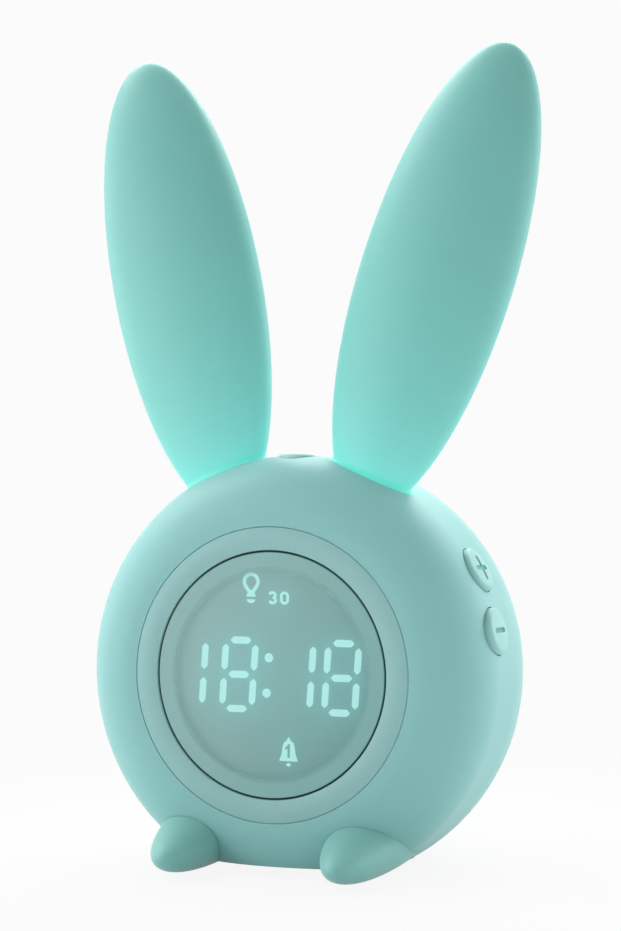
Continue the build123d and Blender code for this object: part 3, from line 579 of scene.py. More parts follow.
@dataclass(frozen=True)
class BodyForm:
    """The round body: its leaning frame, its outline and the distance of points from it."""

    radius: float = 54.5
    lean: float = 2.9
    face_depth: float = 26.6
    shoulder: float = 16.0
    rear_depth: float = 50.6
    rear_corner: float = 44.0
    corner_turn: float = 30.5
    floor: float = 2.5
    centre_height: float = 49.1
    wall: float = 2.4

    @property
    def right(self) -> Array:
        """The direction to the viewer's right."""
        return np.array([1.0, 0.0, 0.0])

    @property
    def forward(self) -> Array:
        """The direction out of the display."""
        lean = math.radians(self.lean)
        return np.array([0.0, -math.cos(lean), math.sin(lean)])

    @property
    def up(self) -> Array:
        """The direction up along the display."""
        lean = math.radians(self.lean)
        return np.array([0.0, math.sin(lean), math.cos(lean)])

    @property
    def centre(self) -> Array:
        """The body's centre."""
        return np.array([0.0, 0.0, self.centre_height])

    @property
    def corner_offset(self) -> float:
        """Radius at which the rear corner's arc is centred."""
        return self.radius - self.rear_corner

    @property
    def cap_radius(self) -> float:
        """Radius of the rear cap that closes the back."""
        return self.rear_corner + self.corner_offset / math.cos(self.cap_turn)

    @property
    def cap_centre(self) -> float:
        """Distance of the rear cap's centre forward of the body's centre."""
        return self.cap_radius - self.rear_depth

    @property
    def corner_start(self) -> float:
        """Distance forward of the body's centre at which the rear corner's arc begins."""
        return self.cap_centre - self.corner_offset * math.tan(self.cap_turn)

    @property
    def cap_turn(self) -> float:
        """Angle at which the corner's arc meets the rear cap."""
        return math.radians(self.corner_turn)

    def at(self, across: Numbers, height: Numbers, forward: Numbers) -> Array:
        """Points from the body's own coordinates.

        Args:
            across: distances to the right.
            height: distances up.
            forward: distances out of the display.

        Returns:
            The points, one a row, in millimetres.
        """
        across, height, forward = np.broadcast_arrays(across, height, forward)
        return (
            self.centre
            + across[..., None] * self.right
            + height[..., None] * self.up
            + forward[..., None] * self.forward
        )

    def around(self, angle: float, forward: float, radius: float) -> Array:
        """A point at an angle above the right, round the body's axis."""
        turn = math.radians(angle)
        return self.at(radius * math.cos(turn), radius * math.sin(turn), forward)

    def outward(self, angle: float) -> Array:
        """The direction out of the side at an angle above the right."""
        turn = math.radians(angle)
        return self.right * math.cos(turn) + self.up * math.sin(turn)

    def outline(self, inset: float, low: float, high: float, step: float = 1.0) -> Array:
        """The outline's points between two depths, from the low one up.

        Args:
            inset: how far inside the outer surface.
            low: lowest distance forward of the centre.
            high: highest distance forward; the flat front's edge ends the line.
            step: rough spacing of the points.

        Returns:
            Rows of (radius, forward).
        """
        shoulder = self.shoulder - inset
        corner = self.rear_corner - inset
        cap = self.cap_radius - inset
        turn, start, offset = self.cap_turn, self.corner_start, self.corner_offset
        edge, edge_start = self.radius - self.shoulder, self.face_depth - self.shoulder
        pieces = [
            [
                (cap * math.cos(t), self.cap_centre - cap * math.sin(t))
                for t in np.linspace(math.pi / 2, turn, int(cap / step))
            ],
            [
                (offset + corner * math.cos(t), start - corner * math.sin(t))
                for t in np.linspace(turn, 0.0, int(corner * turn / step))[1:]
            ],
            [(self.radius - inset, a) for a in np.linspace(start, edge_start, 9)[1:]],
            [
                (edge + shoulder * math.cos(t), edge_start + shoulder * math.sin(t))
                for t in np.linspace(0.0, math.pi / 2, int(2.2 * shoulder / step))[1:]
            ],
        ]
        line = np.array([point for piece in pieces for point in piece])
        kept = line[(line[:, 1] > low + 1e-6) & (line[:, 1] < high - 1e-6)]
        ends: list[list[Array]] = []
        for bound in (low, high):
            ends.append([])
            inside = (line[:-1, 1] <= bound) & (line[1:, 1] >= bound)
            if inside.any():
                index = int(np.argmax(inside))
                part = (bound - line[index, 1]) / max(line[index + 1, 1] - line[index, 1], 1e-9)
                ends[-1].append(line[index] + part * (line[index + 1] - line[index]))
        return np.array(ends[0] + list(kept) + ends[1])

    def distance_round(self, points: Array) -> Array:
        """Signed distance of points from the outer surface before its underside is flattened.

        Args:
            points: rows of coordinates in millimetres.

        Returns:
            The distances, negative inside.
        """
        offset = points - self.centre
        forward = offset @ self.forward
        flat = offset - forward[..., None] * self.forward
        radius = np.linalg.norm(flat, axis=-1)
        edge = self.radius - self.shoulder
        start = self.face_depth - self.shoulder
        shoulder = np.hypot(radius - edge, forward - start) - self.shoulder
        front = np.where(radius > edge, shoulder, forward - self.face_depth)
        band = radius - self.radius
        behind = self.corner_start - forward
        turn = np.arctan2(behind, radius - self.corner_offset)
        corner = np.hypot(radius - self.corner_offset, behind) - self.rear_corner
        cap = np.hypot(radius, forward - self.cap_centre) - self.cap_radius
        rear = np.where((turn < self.cap_turn) & (radius > self.corner_offset), corner, cap)
        return np.where(forward > start, front, np.where(behind <= 0, band, rear))

    def distance(self, points: Array) -> Array:
        """Signed distance of points from the surface, flat underside included."""
        return np.maximum(self.distance_round(points), self.floor - points[..., 2])

    def slope(self, points: Array) -> Array:
        """The outward direction of the surface near points."""
        return self._slope(points, self.distance)

    def slope_round(self, points: Array) -> Array:
        """The outward direction of the surface before its underside is flattened."""
        return self._slope(points, self.distance_round)

    @staticmethod
    def _slope(points: Array, distance: Callable[[Array], Array]) -> Array:
        """The direction in which a distance grows fastest.

        Args:
            points: rows of coordinates in millimetres.
            distance: gives the distance of points from the surface.

        Returns:
            One unit vector for each point.
        """
        step = 1e-3
        parts = [
            distance(points + step * axis) - distance(points - step * axis) for axis in np.eye(3)
        ]
        return unit(np.stack(parts, axis=-1))

    def settle(self, points: Array, lift: float) -> Array:
        """Points moved to a height over the surface.

        Args:
            points: rows of coordinates in millimetres.
            lift: the height.

        Returns:
            The moved points.
        """
        for _ in range(4):
            points = points - (self.distance(points) - lift)[..., None] * self.slope(points)
        return points


# ---- Mesh building -----------------------------------------------------------


def add_object(name: str, data: bpy.types.ID) -> Piece:
    """Adds an object to the scene."""
    made = bpy.data.objects.new(name, data)
    bpy.context.scene.collection.objects.link(made)
    return made


class Mesher:
    """Makes and finishes mesh objects in the model's frame."""

    @staticmethod
    def from_arrays(name: str, points: Array, faces: Iterable[Sequence[int]]) -> Piece:
        """A mesh object from points in millimetres.

        Args:
            name: the object's name.
            points: rows of coordinates.
            faces: point numbers of each face.

        Returns:
            The linked object.
        """
        mesh = bpy.data.meshes.new(name)
        mesh.from_pydata((np.asarray(points) * MM).tolist(), [], [list(map(int, f)) for f in faces])
        mesh.update()
        return add_object(name, mesh)

    @staticmethod
    def places(made: Piece) -> Array:
        """The points of a mesh in millimetres."""
        points = np.zeros(len(made.data.vertices) * 3, np.float32)
        made.data.vertices.foreach_get("co", points)
        return points.reshape(-1, 3).astype(float) / MM

    @staticmethod
    def store(made: Piece, name: str, numbers: Array) -> None:
        """Stores a number on each point of a mesh."""
        layer = made.data.attributes.new(name, "FLOAT", "POINT")
        layer.data.foreach_set("value", np.asarray(numbers, np.float32).ravel())

    @staticmethod
    def grid_faces(rows: int, columns: int, closed_rows: bool = False) -> list[tuple[int, ...]]:
        """Quads of a grid of points whose columns close round.

        Args:
            rows: rows of the grid.
            columns: points in a row.
            closed_rows: whether the last row joins the first.

        Returns:
            The point numbers of each quad.
        """
        faces = []
        for row in range(rows if closed_rows else rows - 1):
            for column in range(columns):
                here = row * columns + column
                beside = row * columns + (column + 1) % columns
                over = ((row + 1) % rows) * columns + (column + 1) % columns
                above = ((row + 1) % rows) * columns + column
                faces.append((here, beside, over, above))
        return faces

    @classmethod
    def revolve(
        cls, name: str, line: Line, form: BodyForm, columns: int = 224, closed: bool = True
    ) -> Piece:
        """Turns a line of (radius, forward) round the body's axis.

        Args:
            name: the object's name.
            line: the points; a closed line gives a ring, an open one ends on the axis.
            form: the body's frame.
            columns: points round the axis.
            closed: whether the line's end joins its start.

        Returns:
            The turned object, with its faces outwards.
        """
        turns = full_turn(columns)
        radius, forward = np.asarray(line, float).T[..., None]
        points = form.at(radius * np.cos(turns), radius * np.sin(turns), forward).reshape(-1, 3)
        made = cls.from_arrays(name, points, cls.grid_faces(len(line), columns, closed))
        cls.tidy(made)
        return made

    @staticmethod
    def tidy(made: Piece, merge: float = 1e-6) -> None:
        """Merges doubles, drops degenerate faces and points every face outwards.

        Args:
            made: the object.
            merge: the distance in metres below which points are merged.
        """
        work = bmesh.new()
        work.from_mesh(made.data)
        bmesh.ops.remove_doubles(work, verts=work.verts, dist=merge)
        bmesh.ops.dissolve_degenerate(work, edges=work.edges, dist=merge)
        bmesh.ops.recalc_face_normals(work, faces=work.faces)
        work.to_mesh(made.data)
        work.free()

    @staticmethod
    def smooth(made: Piece, angle: float = 35.0) -> None:
        """Smooth shading, with edges over an angle left sharp."""
        made.data.shade_smooth()
        made.data.set_sharp_from_angle(angle=math.radians(angle))

    @staticmethod
    def creased(made: Piece, height: float) -> bmesh.types.BMesh:
        """A working copy of a mesh with a line of edges cut in at a height.

        Args:
            made: the object.
            height: the height in millimetres.

        Returns:
            The working copy, which the caller writes back and frees.
        """
        work = bmesh.new()
        work.from_mesh(made.data)
        bmesh.ops.bisect_plane(
            work,
            geom=work.verts[:] + work.edges[:] + work.faces[:],
            dist=1e-7,
            plane_co=(0, 0, height * MM),
            plane_no=(0, 0, 1),
        )
        return work

    @classmethod
    def flatten_below(cls, made: Piece, height: float) -> None:
        """Cuts a crease at a height and presses everything under it flat.

        Args:
            made: the object.
            height: the height in millimetres.
        """
        work = cls.creased(made, height)
        for vertex in work.verts:
            vertex.co.z = max(vertex.co.z, height * MM)
        bmesh.ops.recalc_face_normals(work, faces=work.faces)
        work.to_mesh(made.data)
        work.free()

    @staticmethod
    def bake(made: Piece) -> None:
        """Turns what an object's modifiers make into its own mesh."""
        bpy.context.view_layer.update()
        evaluated = made.evaluated_get(bpy.context.evaluated_depsgraph_get())
        shape = bpy.data.meshes.new_from_object(evaluated)
        made.modifiers.clear()
        made.data = shape

    @classmethod
    def cut(cls, made: Piece, cutter: Piece) -> None:
        """Subtracts one object from another and removes the cutter.

        Args:
            made: the object that is cut.
            cutter: a closed solid.
        """
        modifier = made.modifiers.new("cut", "BOOLEAN")
        modifier.operation = "DIFFERENCE"
        modifier.solver = "EXACT"
        modifier.object = cutter
        cls.bake(made)
        bpy.data.objects.remove(cutter)

    @staticmethod
    def join(name: str, pieces: Sequence[Piece]) -> Piece:
        """Puts several objects' meshes into one object, keeping their materials.

        Args:
            name: the new object's name.
            pieces: the objects, which are removed.

        Returns:
            The joined object.
        """
        work = bmesh.new()
        slots: list[Paint] = []
        for piece in pieces:
            part = piece.data
            offset = len(slots)
            slots.extend(part.materials)
            start = len(work.faces)
            work.from_mesh(part)
            work.faces.ensure_lookup_table()
            for index in range(start, len(work.faces)):
                work.faces[index].material_index += offset
        mesh = bpy.data.meshes.new(name)
        work.to_mesh(mesh)
        work.free()
        for slot in slots:
            mesh.materials.append(slot)
        for piece in pieces:
            bpy.data.objects.remove(piece)
        return add_object(name, mesh)

    @staticmethod
    def prism(
        name: str, outline: Line, origin: Array, across: Array, along: Array, reach: float
    ) -> Piece:
        """A closed prism over a flat outline.

        Args:
            name: the object's name.
            outline: rows of (across, up), anticlockwise.
            origin: the outline's origin.
            across: the first direction in the outline's plane.
            along: the direction the prism runs in.
            reach: the prism's length.

        Returns:
            The closed prism.
        """
        outline = np.asarray(outline, float)
        second = np.cross(along, across)
        base = origin + outline[:, :1] * across + outline[:, 1:2] * second
        points = np.vstack([base, base + reach * along])
        count = len(outline)
        faces: list[Sequence[int]] = [list(range(count))[::-1], list(range(count, 2 * count))]
        faces += [(i, (i + 1) % count, count + (i + 1) % count, count + i) for i in range(count)]
        made = Mesher.from_arrays(name, points, faces)
        Mesher.tidy(made)
        return made


def ellipse(half_width: float, half_height: float, count: int = 64) -> Array:
    """Points round an ellipse."""
    turns = full_turn(count)
    return np.stack([half_width * np.cos(turns), half_height * np.sin(turns)], axis=-1)


def dress(piece: Piece, material: Paint) -> None:
    """Gives an object one material."""
    piece.data.materials.clear()
    piece.data.materials.append(material)


# ---- Geometry node trees -----------------------------------------------------


class ScatterTree:
    """A node tree that repeats one shape on points and gives the result a material."""

    def __init__(self, name: str) -> None:
        """Starts a tree with its geometry sockets.

        Args:
            name: the tree's name.
        """
        self.tree = bpy.data.node_groups.new(name, "GeometryNodeTree")
        for way in ("INPUT", "OUTPUT"):
            self.tree.interface.new_socket("Geometry", in_out=way, socket_type="NodeSocketGeometry")
        self.source = self.tree.nodes.new("NodeGroupInput")
        self.target = self.tree.nodes.new("NodeGroupOutput")

    def socket(self, name: str, kind: str, default: object) -> str:
        """Adds a named input.

        Args:
            name: the input's name.
            kind: its socket type.
            default: its value to start with, or None.

        Returns:
            Its identifier, by which the modifier sets it.
        """
        made = self.tree.interface.new_socket(name, in_out="INPUT", socket_type=kind)
        if default is not None:
            made.default_value = default
        return made.identifier

    def node(
        self, kind: str, settings: dict[str, object], inputs: dict[object, object]
    ) -> bpy.types.Node:
        """Adds a node.

        Args:
            kind: the node's type.
            settings: properties that are set on the node first.
            inputs: input values or sockets, by name.

        Returns:
            The new node.
        """
        made = self.tree.nodes.new(kind)
        for key, value in settings.items():
            setattr(made, key, value)
        for key, value in inputs.items():
            if isinstance(value, bpy.types.NodeSocket):
                self.tree.links.new(value, made.inputs[key])
            else:
                made.inputs[key].default_value = value
        return made

    def apply(self, made: Piece, values: dict[str, object]) -> None:
        """Runs the tree on an object and leaves a plain mesh.

        Args:
            made: the object that carries the points or shape.
            values: input identifiers and their values.
        """
        modifier = made.modifiers.new("scatter", "NODES")
        modifier.node_group = self.tree
        for key, value in values.items():
            modifier[key] = value
        Mesher.bake(made)


class PinTree(ScatterTree):
    """A tree that sets round pins on the points it is given, turned the way each point asks."""

    def __init__(self, sides: int = 40) -> None:
        """Lays out the tree and keeps its inputs' identifiers.

        Args:
            sides: flats round each pin.
        """
        super().__init__("rings_of_pins")
        self.radius = self.socket("Radius", "NodeSocketFloat", 1.0)
        self.length = self.socket("Length", "NodeSocketFloat", 1.0)
        self.socket("Material", "NodeSocketMaterial", None)
        given = self.source.outputs
        pin = self.node(
            "GeometryNodeMeshCylinder",
            {},
            {"Vertices": sides, "Radius": given["Radius"], "Depth": given["Length"]},
        )
        heading = self.node(
            "GeometryNodeInputNamedAttribute", {"data_type": "FLOAT_VECTOR"}, {"Name": "heading"}
        )
        turn = self.node(
            "FunctionNodeAlignRotationToVector",
            {"axis": "Z"},
            {"Vector": heading.outputs["Attribute"]},
        )
        placed = self.node(
            "GeometryNodeInstanceOnPoints",
            {},
            {
                "Points": given["Geometry"],
                "Instance": pin.outputs["Mesh"],
                "Rotation": turn.outputs["Rotation"],
            },
        )
        real = self.node(
            "GeometryNodeRealizeInstances", {}, {"Geometry": placed.outputs["Instances"]}
        )
        dressed = self.node(
            "GeometryNodeSetMaterial",
            {},
            {"Geometry": real.outputs["Geometry"], "Material": given["Material"]},
        )
        self.tree.links.new(dressed.outputs["Geometry"], self.target.inputs[0])


# ---- Round body --------------------------------------------------------------


@dataclass(frozen=True)
class Hole:
    """A round hole through the body's side: where it points and how wide it is."""

    angle: float
    forward: float
    radius: float


@dataclass
class RoundBody:
    """The two housings: display recess, key holes, neck holes, seam, grille and screw wells."""

    form: BodyForm
    recess_radius: float = 36.82
    recess_soft: float = 0.16
    recess_bevel: float = 0.05
    seat_depth: float = 24.6
    opening_radius: float = 28.85
    ledge_depth: float = 22.6
    seam_depth: float = 24.0
    seam_groove: float = 0.3
    seam_gap: float = 0.06
    hole_depth: float = 3.0
    hole_reach: float = 8.0
    room_start: float = 2.9
    room_depth: float = 8.0
    room_margin: float = 1.0
    pad_length: float = 50.4
    pad_width: float = 24.4
    pad_back: float = 8.0
    pad_recess: float = 0.6
    pad_reach: float = 3.0
    screw_circle: float = 38.0
    screw_angles: tuple[int, ...] = (45, 135, 225, 315)
    well_radius: float = 3.1
    well_sink: float = 6.0
    well_length: float = 20.0
    grille_radius: float = 1.1
    grille_pitch: float = 4.0
    grille_length: float = 12.0
    port_drop: float = 25.0
    port_width: float = 9.0
    port_height: float = 3.6
    port_start: float = 4.0
    port_reach: float = 16.0
    columns: int = 288

    def front(self, holes: Sequence[Hole], necks: Sequence[Piece]) -> Piece:
        """Builds the front housing.

        Args:
            holes: the keys' holes in the side.
            necks: solids of the ears' necks, which are cut out and removed.

        Returns:
            The front housing's shell.
        """
        seam = -self.seam_depth
        skin = self.form.outline(0.0, seam + self.seam_groove, self.form.face_depth, 0.8)
        inner = self.form.outline(self.form.wall, seam, self.ledge_depth)[::-1]
        groove = [(skin[0, 0] - self.seam_groove, seam)]
        face = self.form.face_depth
        recess = [
            (self.recess_radius + self.recess_soft, face),
            (self.recess_radius + self.recess_bevel, face - self.recess_bevel),
            (self.recess_radius, face - self.recess_soft),
            (self.recess_radius, self.seat_depth),
            (self.opening_radius, self.seat_depth),
            (self.opening_radius, self.ledge_depth),
        ]
        line = np.vstack([groove, skin, recess, inner])
        shell = Mesher.revolve("front_shell", line, self.form, self.columns)
        self._flatten(shell)
        rooms = [Hole(hole.angle, hole.forward, hole.radius + self.room_margin) for hole in holes]
        self._bore(shell, holes, -self.hole_depth, self.hole_reach)
        self._bore(shell, rooms, -self.room_depth, -self.room_start)
        for neck in necks:
            Mesher.cut(shell, neck)
        Mesher.cut(shell, self._pad_block())
        return self._finished(shell)

    def rear(self) -> Piece:
        """Builds the rear housing with its grille, wells and charging port."""
        seam = -self.seam_depth - self.seam_gap
        skin = self.form.outline(0.0, FAR_BACK, seam - self.seam_groove)
        inner = self.form.outline(self.form.wall, FAR_BACK, seam)[::-1]
        line = np.vstack([skin, [(skin[-1, 0] - self.seam_groove * 0.9, seam)], inner])
        shell = Mesher.revolve("rear_shell", line, self.form, closed=False)
        self._flatten(shell)
        back = -self.form.rear_depth
        wells = [
            self.form.around(angle, back + self.well_sink, self.screw_circle)
            for angle in self.screw_angles
        ]
        Mesher.cut(shell, self._pins("wells", wells, self.well_radius, self.well_length))
        grille = [self.form.around(0, back, 0.0)]
        for ring in (1, 2):
            grille += [
                self.form.around(60.0 / ring * step, back, ring * self.grille_pitch)
                for step in range(6 * ring)
            ]
        Mesher.cut(shell, self._pins("grille", grille, self.grille_radius, self.grille_length))
        slot = self._slot_outline(self.port_width, self.port_height)
        base = self.form.at(0.0, -self.port_drop, back - self.port_start)
        port = Mesher.prism("port", slot, base, self.form.right, self.form.forward, self.port_reach)
        Mesher.cut(shell, port)
        return self._finished(shell)

    def _flatten(self, shell: Piece) -> None:
        """Presses the skin to the flat underside and the inner wall to the floor.

        Args:
            shell: the turned shell.
        """
        low, high = self.form.floor, self.form.floor + self.form.wall
        for height in (low, high):
            work = Mesher.creased(shell, height)
            work.to_mesh(shell.data)
            work.free()
        points = Mesher.places(shell)
        inner = self.form.distance_round(points) < -self.form.wall * 0.6
        points[:, 2] = np.maximum(points[:, 2], np.where(inner, high, low))
        shell.data.vertices.foreach_set("co", (points * MM).astype(np.float32).ravel())
        shell.data.update()
        Mesher.tidy(shell)

    def _pins(
        self,
        name: str,
        places: Sequence[Array],
        radius: float,
        length: float,
        headings: Optional[Sequence[Array]] = None,
    ) -> Piece:
        """Round pins on a set of places, made by the scatter tree.

        Args:
            name: the object's name.
            places: the pins' middles in millimetres.
            radius: their radius.
            length: their length.
            headings: the pins' directions; forward where none are given.

        Returns:
            One object that holds all the pins.
        """
        points = Mesher.from_arrays(name, np.array(places), [])
        way = np.array(headings if headings is not None else [self.form.forward] * len(places))
        layer = points.data.attributes.new("heading", "FLOAT_VECTOR", "POINT")
        layer.data.foreach_set("vector", way.astype(np.float32).ravel())
        tree = PinTree()
        tree.apply(points, {tree.radius: radius * MM, tree.length: length * MM})
        return points

    def _bore(self, shell: Piece, holes: Sequence[Hole], low: float, high: float) -> None:
        """Cuts round holes through the side.

        Args:
            shell: the shell.
            holes: where they are and how wide.
            low: the height over the skin from which each is cut.
            high: the height to which it is cut.
        """
        for radius in sorted({hole.radius for hole in holes}):
            chosen = [hole for hole in holes if hole.radius == radius]
            middle = self.form.radius + (low + high) / 2
            places = [self.form.around(hole.angle, hole.forward, middle) for hole in chosen]
            headings = [self.form.outward(hole.angle) for hole in chosen]
            Mesher.cut(shell, self._pins("bores", places, radius, high - low, headings))

    def _slot_outline(self, length: float, width: float) -> Array:
        """The outline of a slot with round ends.

        Args:
            length: its whole length.
            width: its width.

        Returns:
            Rows of (across, up).
        """
        reach = (length - width) / 2
        turns = np.linspace(-math.pi / 2, math.pi / 2, 17)
        half = np.stack([reach + width / 2 * np.cos(turns), width / 2 * np.sin(turns)], axis=-1)
        return np.vstack([half, -half])

    def _pad_block(self) -> Piece:
        """The solid that makes room for the rubber pad."""
        outline = self._slot_outline(self.pad_length, self.pad_width) + (0.0, self.pad_back)
        base = np.array([0.0, 0.0, self.form.floor - self.pad_reach])
        height = self.pad_reach + self.pad_recess
        above = np.array([0.0, 0.0, 1.0])
        return Mesher.prism("pad_room", outline, base, self.form.right, above, height)

    def _finished(self, shell: Piece) -> Piece:
        """Smooths a shell and guides its normals along the round form."""
        Mesher.smooth(shell, 30.0)
        guide_normals(shell, self.form.distance_round, self.form.slope_round)
        return shell


def guide_normals(
    made: Piece,
    distance: Callable[[Array], Array],
    slope: Callable[[Array], Array],
    reach: float = 0.03,
    agreement: float = 0.8,
) -> None:
    """Gives the faces that lie on a known surface that surface's own normals.

    Args:
        made: a smooth-shaded object in the model's frame.
        distance: distance of points from the surface, in millimetres.
        slope: outward direction of the surface near points.
        reach: how far a face may lie from the surface.
        agreement: cosine of the turn that a face may have from the surface.
    """
    mesh = made.data
    count = len(mesh.loops)
    corners = np.zeros(count * 3, np.float32)
    mesh.corner_normals.foreach_get("vector", corners)
    corners = corners.reshape(-1, 3).astype(float)
    points = Mesher.places(made)
    loop_points = np.zeros(count, np.int32)
    mesh.loops.foreach_get("vertex_index", loop_points)
    starts = np.zeros(len(mesh.polygons), np.int32)
    sizes = np.zeros(len(mesh.polygons), np.int32)
    facing = np.zeros(len(mesh.polygons) * 3, np.float32)
    mesh.polygons.foreach_get("loop_start", starts)
    mesh.polygons.foreach_get("loop_total", sizes)
    mesh.polygons.foreach_get("normal", facing)
    owner = np.repeat(np.arange(len(sizes)), sizes)
    order = np.concatenate([np.arange(s, s + n) for s, n in zip(starts, sizes)])
    loop_owner = np.zeros(count, np.int64)
    loop_owner[order] = owner
    off = np.abs(distance(points)) > reach
    stray = np.zeros(len(sizes), bool)
    np.logical_or.at(stray, loop_owner, off[loop_points])
    ideal = slope(points)[loop_points]
    agree = (ideal * facing.reshape(-1, 3)[loop_owner]).sum(-1) > agreement
    chosen = ~stray[loop_owner] & agree
    corners[chosen] = ideal[chosen]
    mesh.normals_split_custom_set(corners.tolist())


# ---- Ears --------------------------------------------------------------------


@dataclass
class GlowingEar:
    """A long silicone ear that grows out of the body and glows from its root."""

    form: BodyForm
    side: Side
    half_length: float = 61.6
    half_width: float = 20.5
    half_thickness: float = 10.1
    out_tilt: float = 15.9
    back_tilt: float = 9.4
    root_angle: float = 67.6
    root_forward: float = 9.5
    sunk: float = 10.2
    fillet: float = 1.5
    neck_half_width: float = 8.2
    neck_half_thickness: float = 4.2
    neck_gap: float = 0.2
    neck_start: float = 2.0
    neck_reach: float = 8.0
    flange_overhang: float = 1.8
    flange_thickness: float = 1.5
    socket_depth: float = 9.9
    near_glow: float = 0.43
    near_fade: float = 6.0
    far_glow: float = 0.57
    far_fade: float = 38.0
    root_fade: float = 1.2
    spill_fade: float = 1.6
    lip_lift: float = 0.02
    seat_lift: float = 0.1
    seat_inset: float = 0.3
    columns: int = 160
    rows: int = 84

    @property
    def along(self) -> Array:
        """The direction from the root to the tip."""
        out, back = math.radians(self.out_tilt), math.radians(self.back_tilt)
        outward = self.side.value * math.sin(out) * math.cos(back)
        return np.array([outward, math.sin(back), math.cos(out) * math.cos(back)])

    @property
    def across(self) -> Array:
        """The direction across the ear's width."""
        return unit(self.form.right - self.along * self.along[0])

    @property
    def through(self) -> Array:
        """The direction through the ear's thickness."""
        return np.cross(self.along, self.across)

    @property
    def root(self) -> Array:
        """The point where the ear's axis leaves the body."""
        angle = self.root_angle if self.side is Side.RIGHT else 180.0 - self.root_angle
        return self.form.around(angle, self.root_forward, self.form.radius)

    @property
    def middle(self) -> Array:
        """The middle of the ear's egg shape."""
        return self.root + self.along * (self.half_length - self.sunk)

    def skin(self, turn: Array, rise: Array) -> Array:
        """Points of the egg shape.

        Args:
            turn: angles round the ear.
            rise: angles from the root to the tip.

        Returns:
            The points in millimetres.
        """
        turn, rise = np.broadcast_arrays(turn, rise)
        return (
            self.middle
            + (self.half_width * np.cos(rise) * np.cos(turn))[..., None] * self.across
            + (self.half_thickness * np.cos(rise) * np.sin(turn))[..., None] * self.through
            + (self.half_length * np.sin(rise))[..., None] * self.along
        )

    def crease(self, turns: Array) -> Array:
        """The rise at which each meridian leaves the body.

        Args:
            turns: angles round the ear.

        Returns:
            One rise for each of them.
        """
        low = np.full_like(turns, math.radians(-80.0))
        high = np.zeros_like(turns)
        for _ in range(40):
            middle = (low + high) / 2
            inside = self.form.distance(self.skin(turns, middle)) < 0
            low = np.where(inside, middle, low)
            high = np.where(inside, high, middle)
        return (low + high) / 2

    def neck_solid(self) -> Piece:
        """The room that the neck takes in the body's wall."""
        half_width = self.neck_half_width + self.neck_gap
        outline = ellipse(half_width, self.neck_half_thickness + self.neck_gap)
        base = self.root - self.along * (self.socket_depth + self.neck_start)
        length = self.socket_depth + self.neck_reach
        return Mesher.prism("neck", outline, base, self.across, self.along, length)

    def make(self) -> Piece:
        """Builds the ear with its fillet on the body, its neck and its flange."""
        turns = full_turn(self.columns)
        start = self.crease(turns)
        corner = self.skin(turns, start)
        speed = np.linalg.norm(self.skin(turns, start + 1e-4) - corner, axis=-1) / 1e-4
        first = start + self.fillet / speed
        upper = self.skin(turns, first)
        normal = self.form.slope(corner + self.form.slope(corner) * 0.05)
        spread = unit(np.cross(self.skin(turns + 1e-4, start) - corner, upper - corner))
        side_way = unit(spread - (spread * normal).sum(-1, keepdims=True) * normal)
        lower = self.form.settle(corner + side_way * self.fillet, self.lip_lift)
        rows: list[Array] = []
        glow: list[Array] = []
        depth: list[Array] = []

        def add(points: Array, height: Array) -> None:
            """Stores one row and how far it lies above the crease."""
            rows.append(points)
            near = self.near_glow * np.exp(-height / self.near_fade)
            glow.append(near + self.far_glow * np.exp(-height / self.far_fade))
            depth.append(np.exp(-height / self.root_fade))

        zero = np.zeros(self.columns)
        self._neck_rows(add, turns, corner, side_way)
        for step in np.linspace(0.0, 1.0, 7)[:-1]:
            curve = (1 - step) ** 2 * lower + 2 * step * (1 - step) * corner + step**2 * upper
            add(curve, zero + max(0.0, (step - 0.5)) * self.fillet)
        for part in np.linspace(0.0, 1.0, self.rows):
            rise = first + (math.pi / 2 - first) * part
            points = self.skin(turns, rise)
            add(points, ((points - corner) @ self.along).clip(0) + self.fillet * 0.5)
        name = f"ear_{self.side.name.lower()}_skin"
        faces = Mesher.grid_faces(len(rows), self.columns)
        made = Mesher.from_arrays(name, np.vstack(rows), faces)
        Mesher.store(made, "glow", np.concatenate(glow))
        Mesher.store(made, "root", np.concatenate(depth))
        Mesher.tidy(made)
        Mesher.smooth(made, 50.0)
        return made

    def _neck_rows(
        self, add: Callable[[Array, Array], None], turns: Array, corner: Array, side_way: Array
    ) -> None:
        """Adds the flange, the neck and the underside that rests on the body.

        Args:
            add: stores one row of points and their height over the crease.
            turns: angles round the ear.
            corner: the crease between the ear and the body.
            side_way: the direction along the body, away from the ear.
        """
        zero = np.zeros(self.columns)
        bottom = self.root - self.along * (self.socket_depth + self.flange_thickness)
        top = self.root - self.along * self.socket_depth

        def ring(base: Array, extra: float) -> Array:
            """An ellipse round the neck's axis."""
            return (
                base
                + ((self.neck_half_width + extra) * np.cos(turns))[:, None] * self.across
                + ((self.neck_half_thickness + extra) * np.sin(turns))[:, None] * self.through
            )

        add(np.repeat(bottom[None], self.columns, axis=0), zero)
        add(ring(bottom, self.flange_overhang), zero)
        add(ring(top, self.flange_overhang), zero)
        add(ring(top, 0.0), zero)
        seat = ring(self.root, 0.0)
        for _ in range(30):
            seat = seat - (self.form.distance(seat) - self.seat_lift)[:, None] * self.along
        add(seat, zero)
        edge = corner - side_way * self.seat_inset
        for part in (0.35, 0.75, 1.0):
            add(self.form.settle(seat + (edge - seat) * part, self.seat_lift), zero)

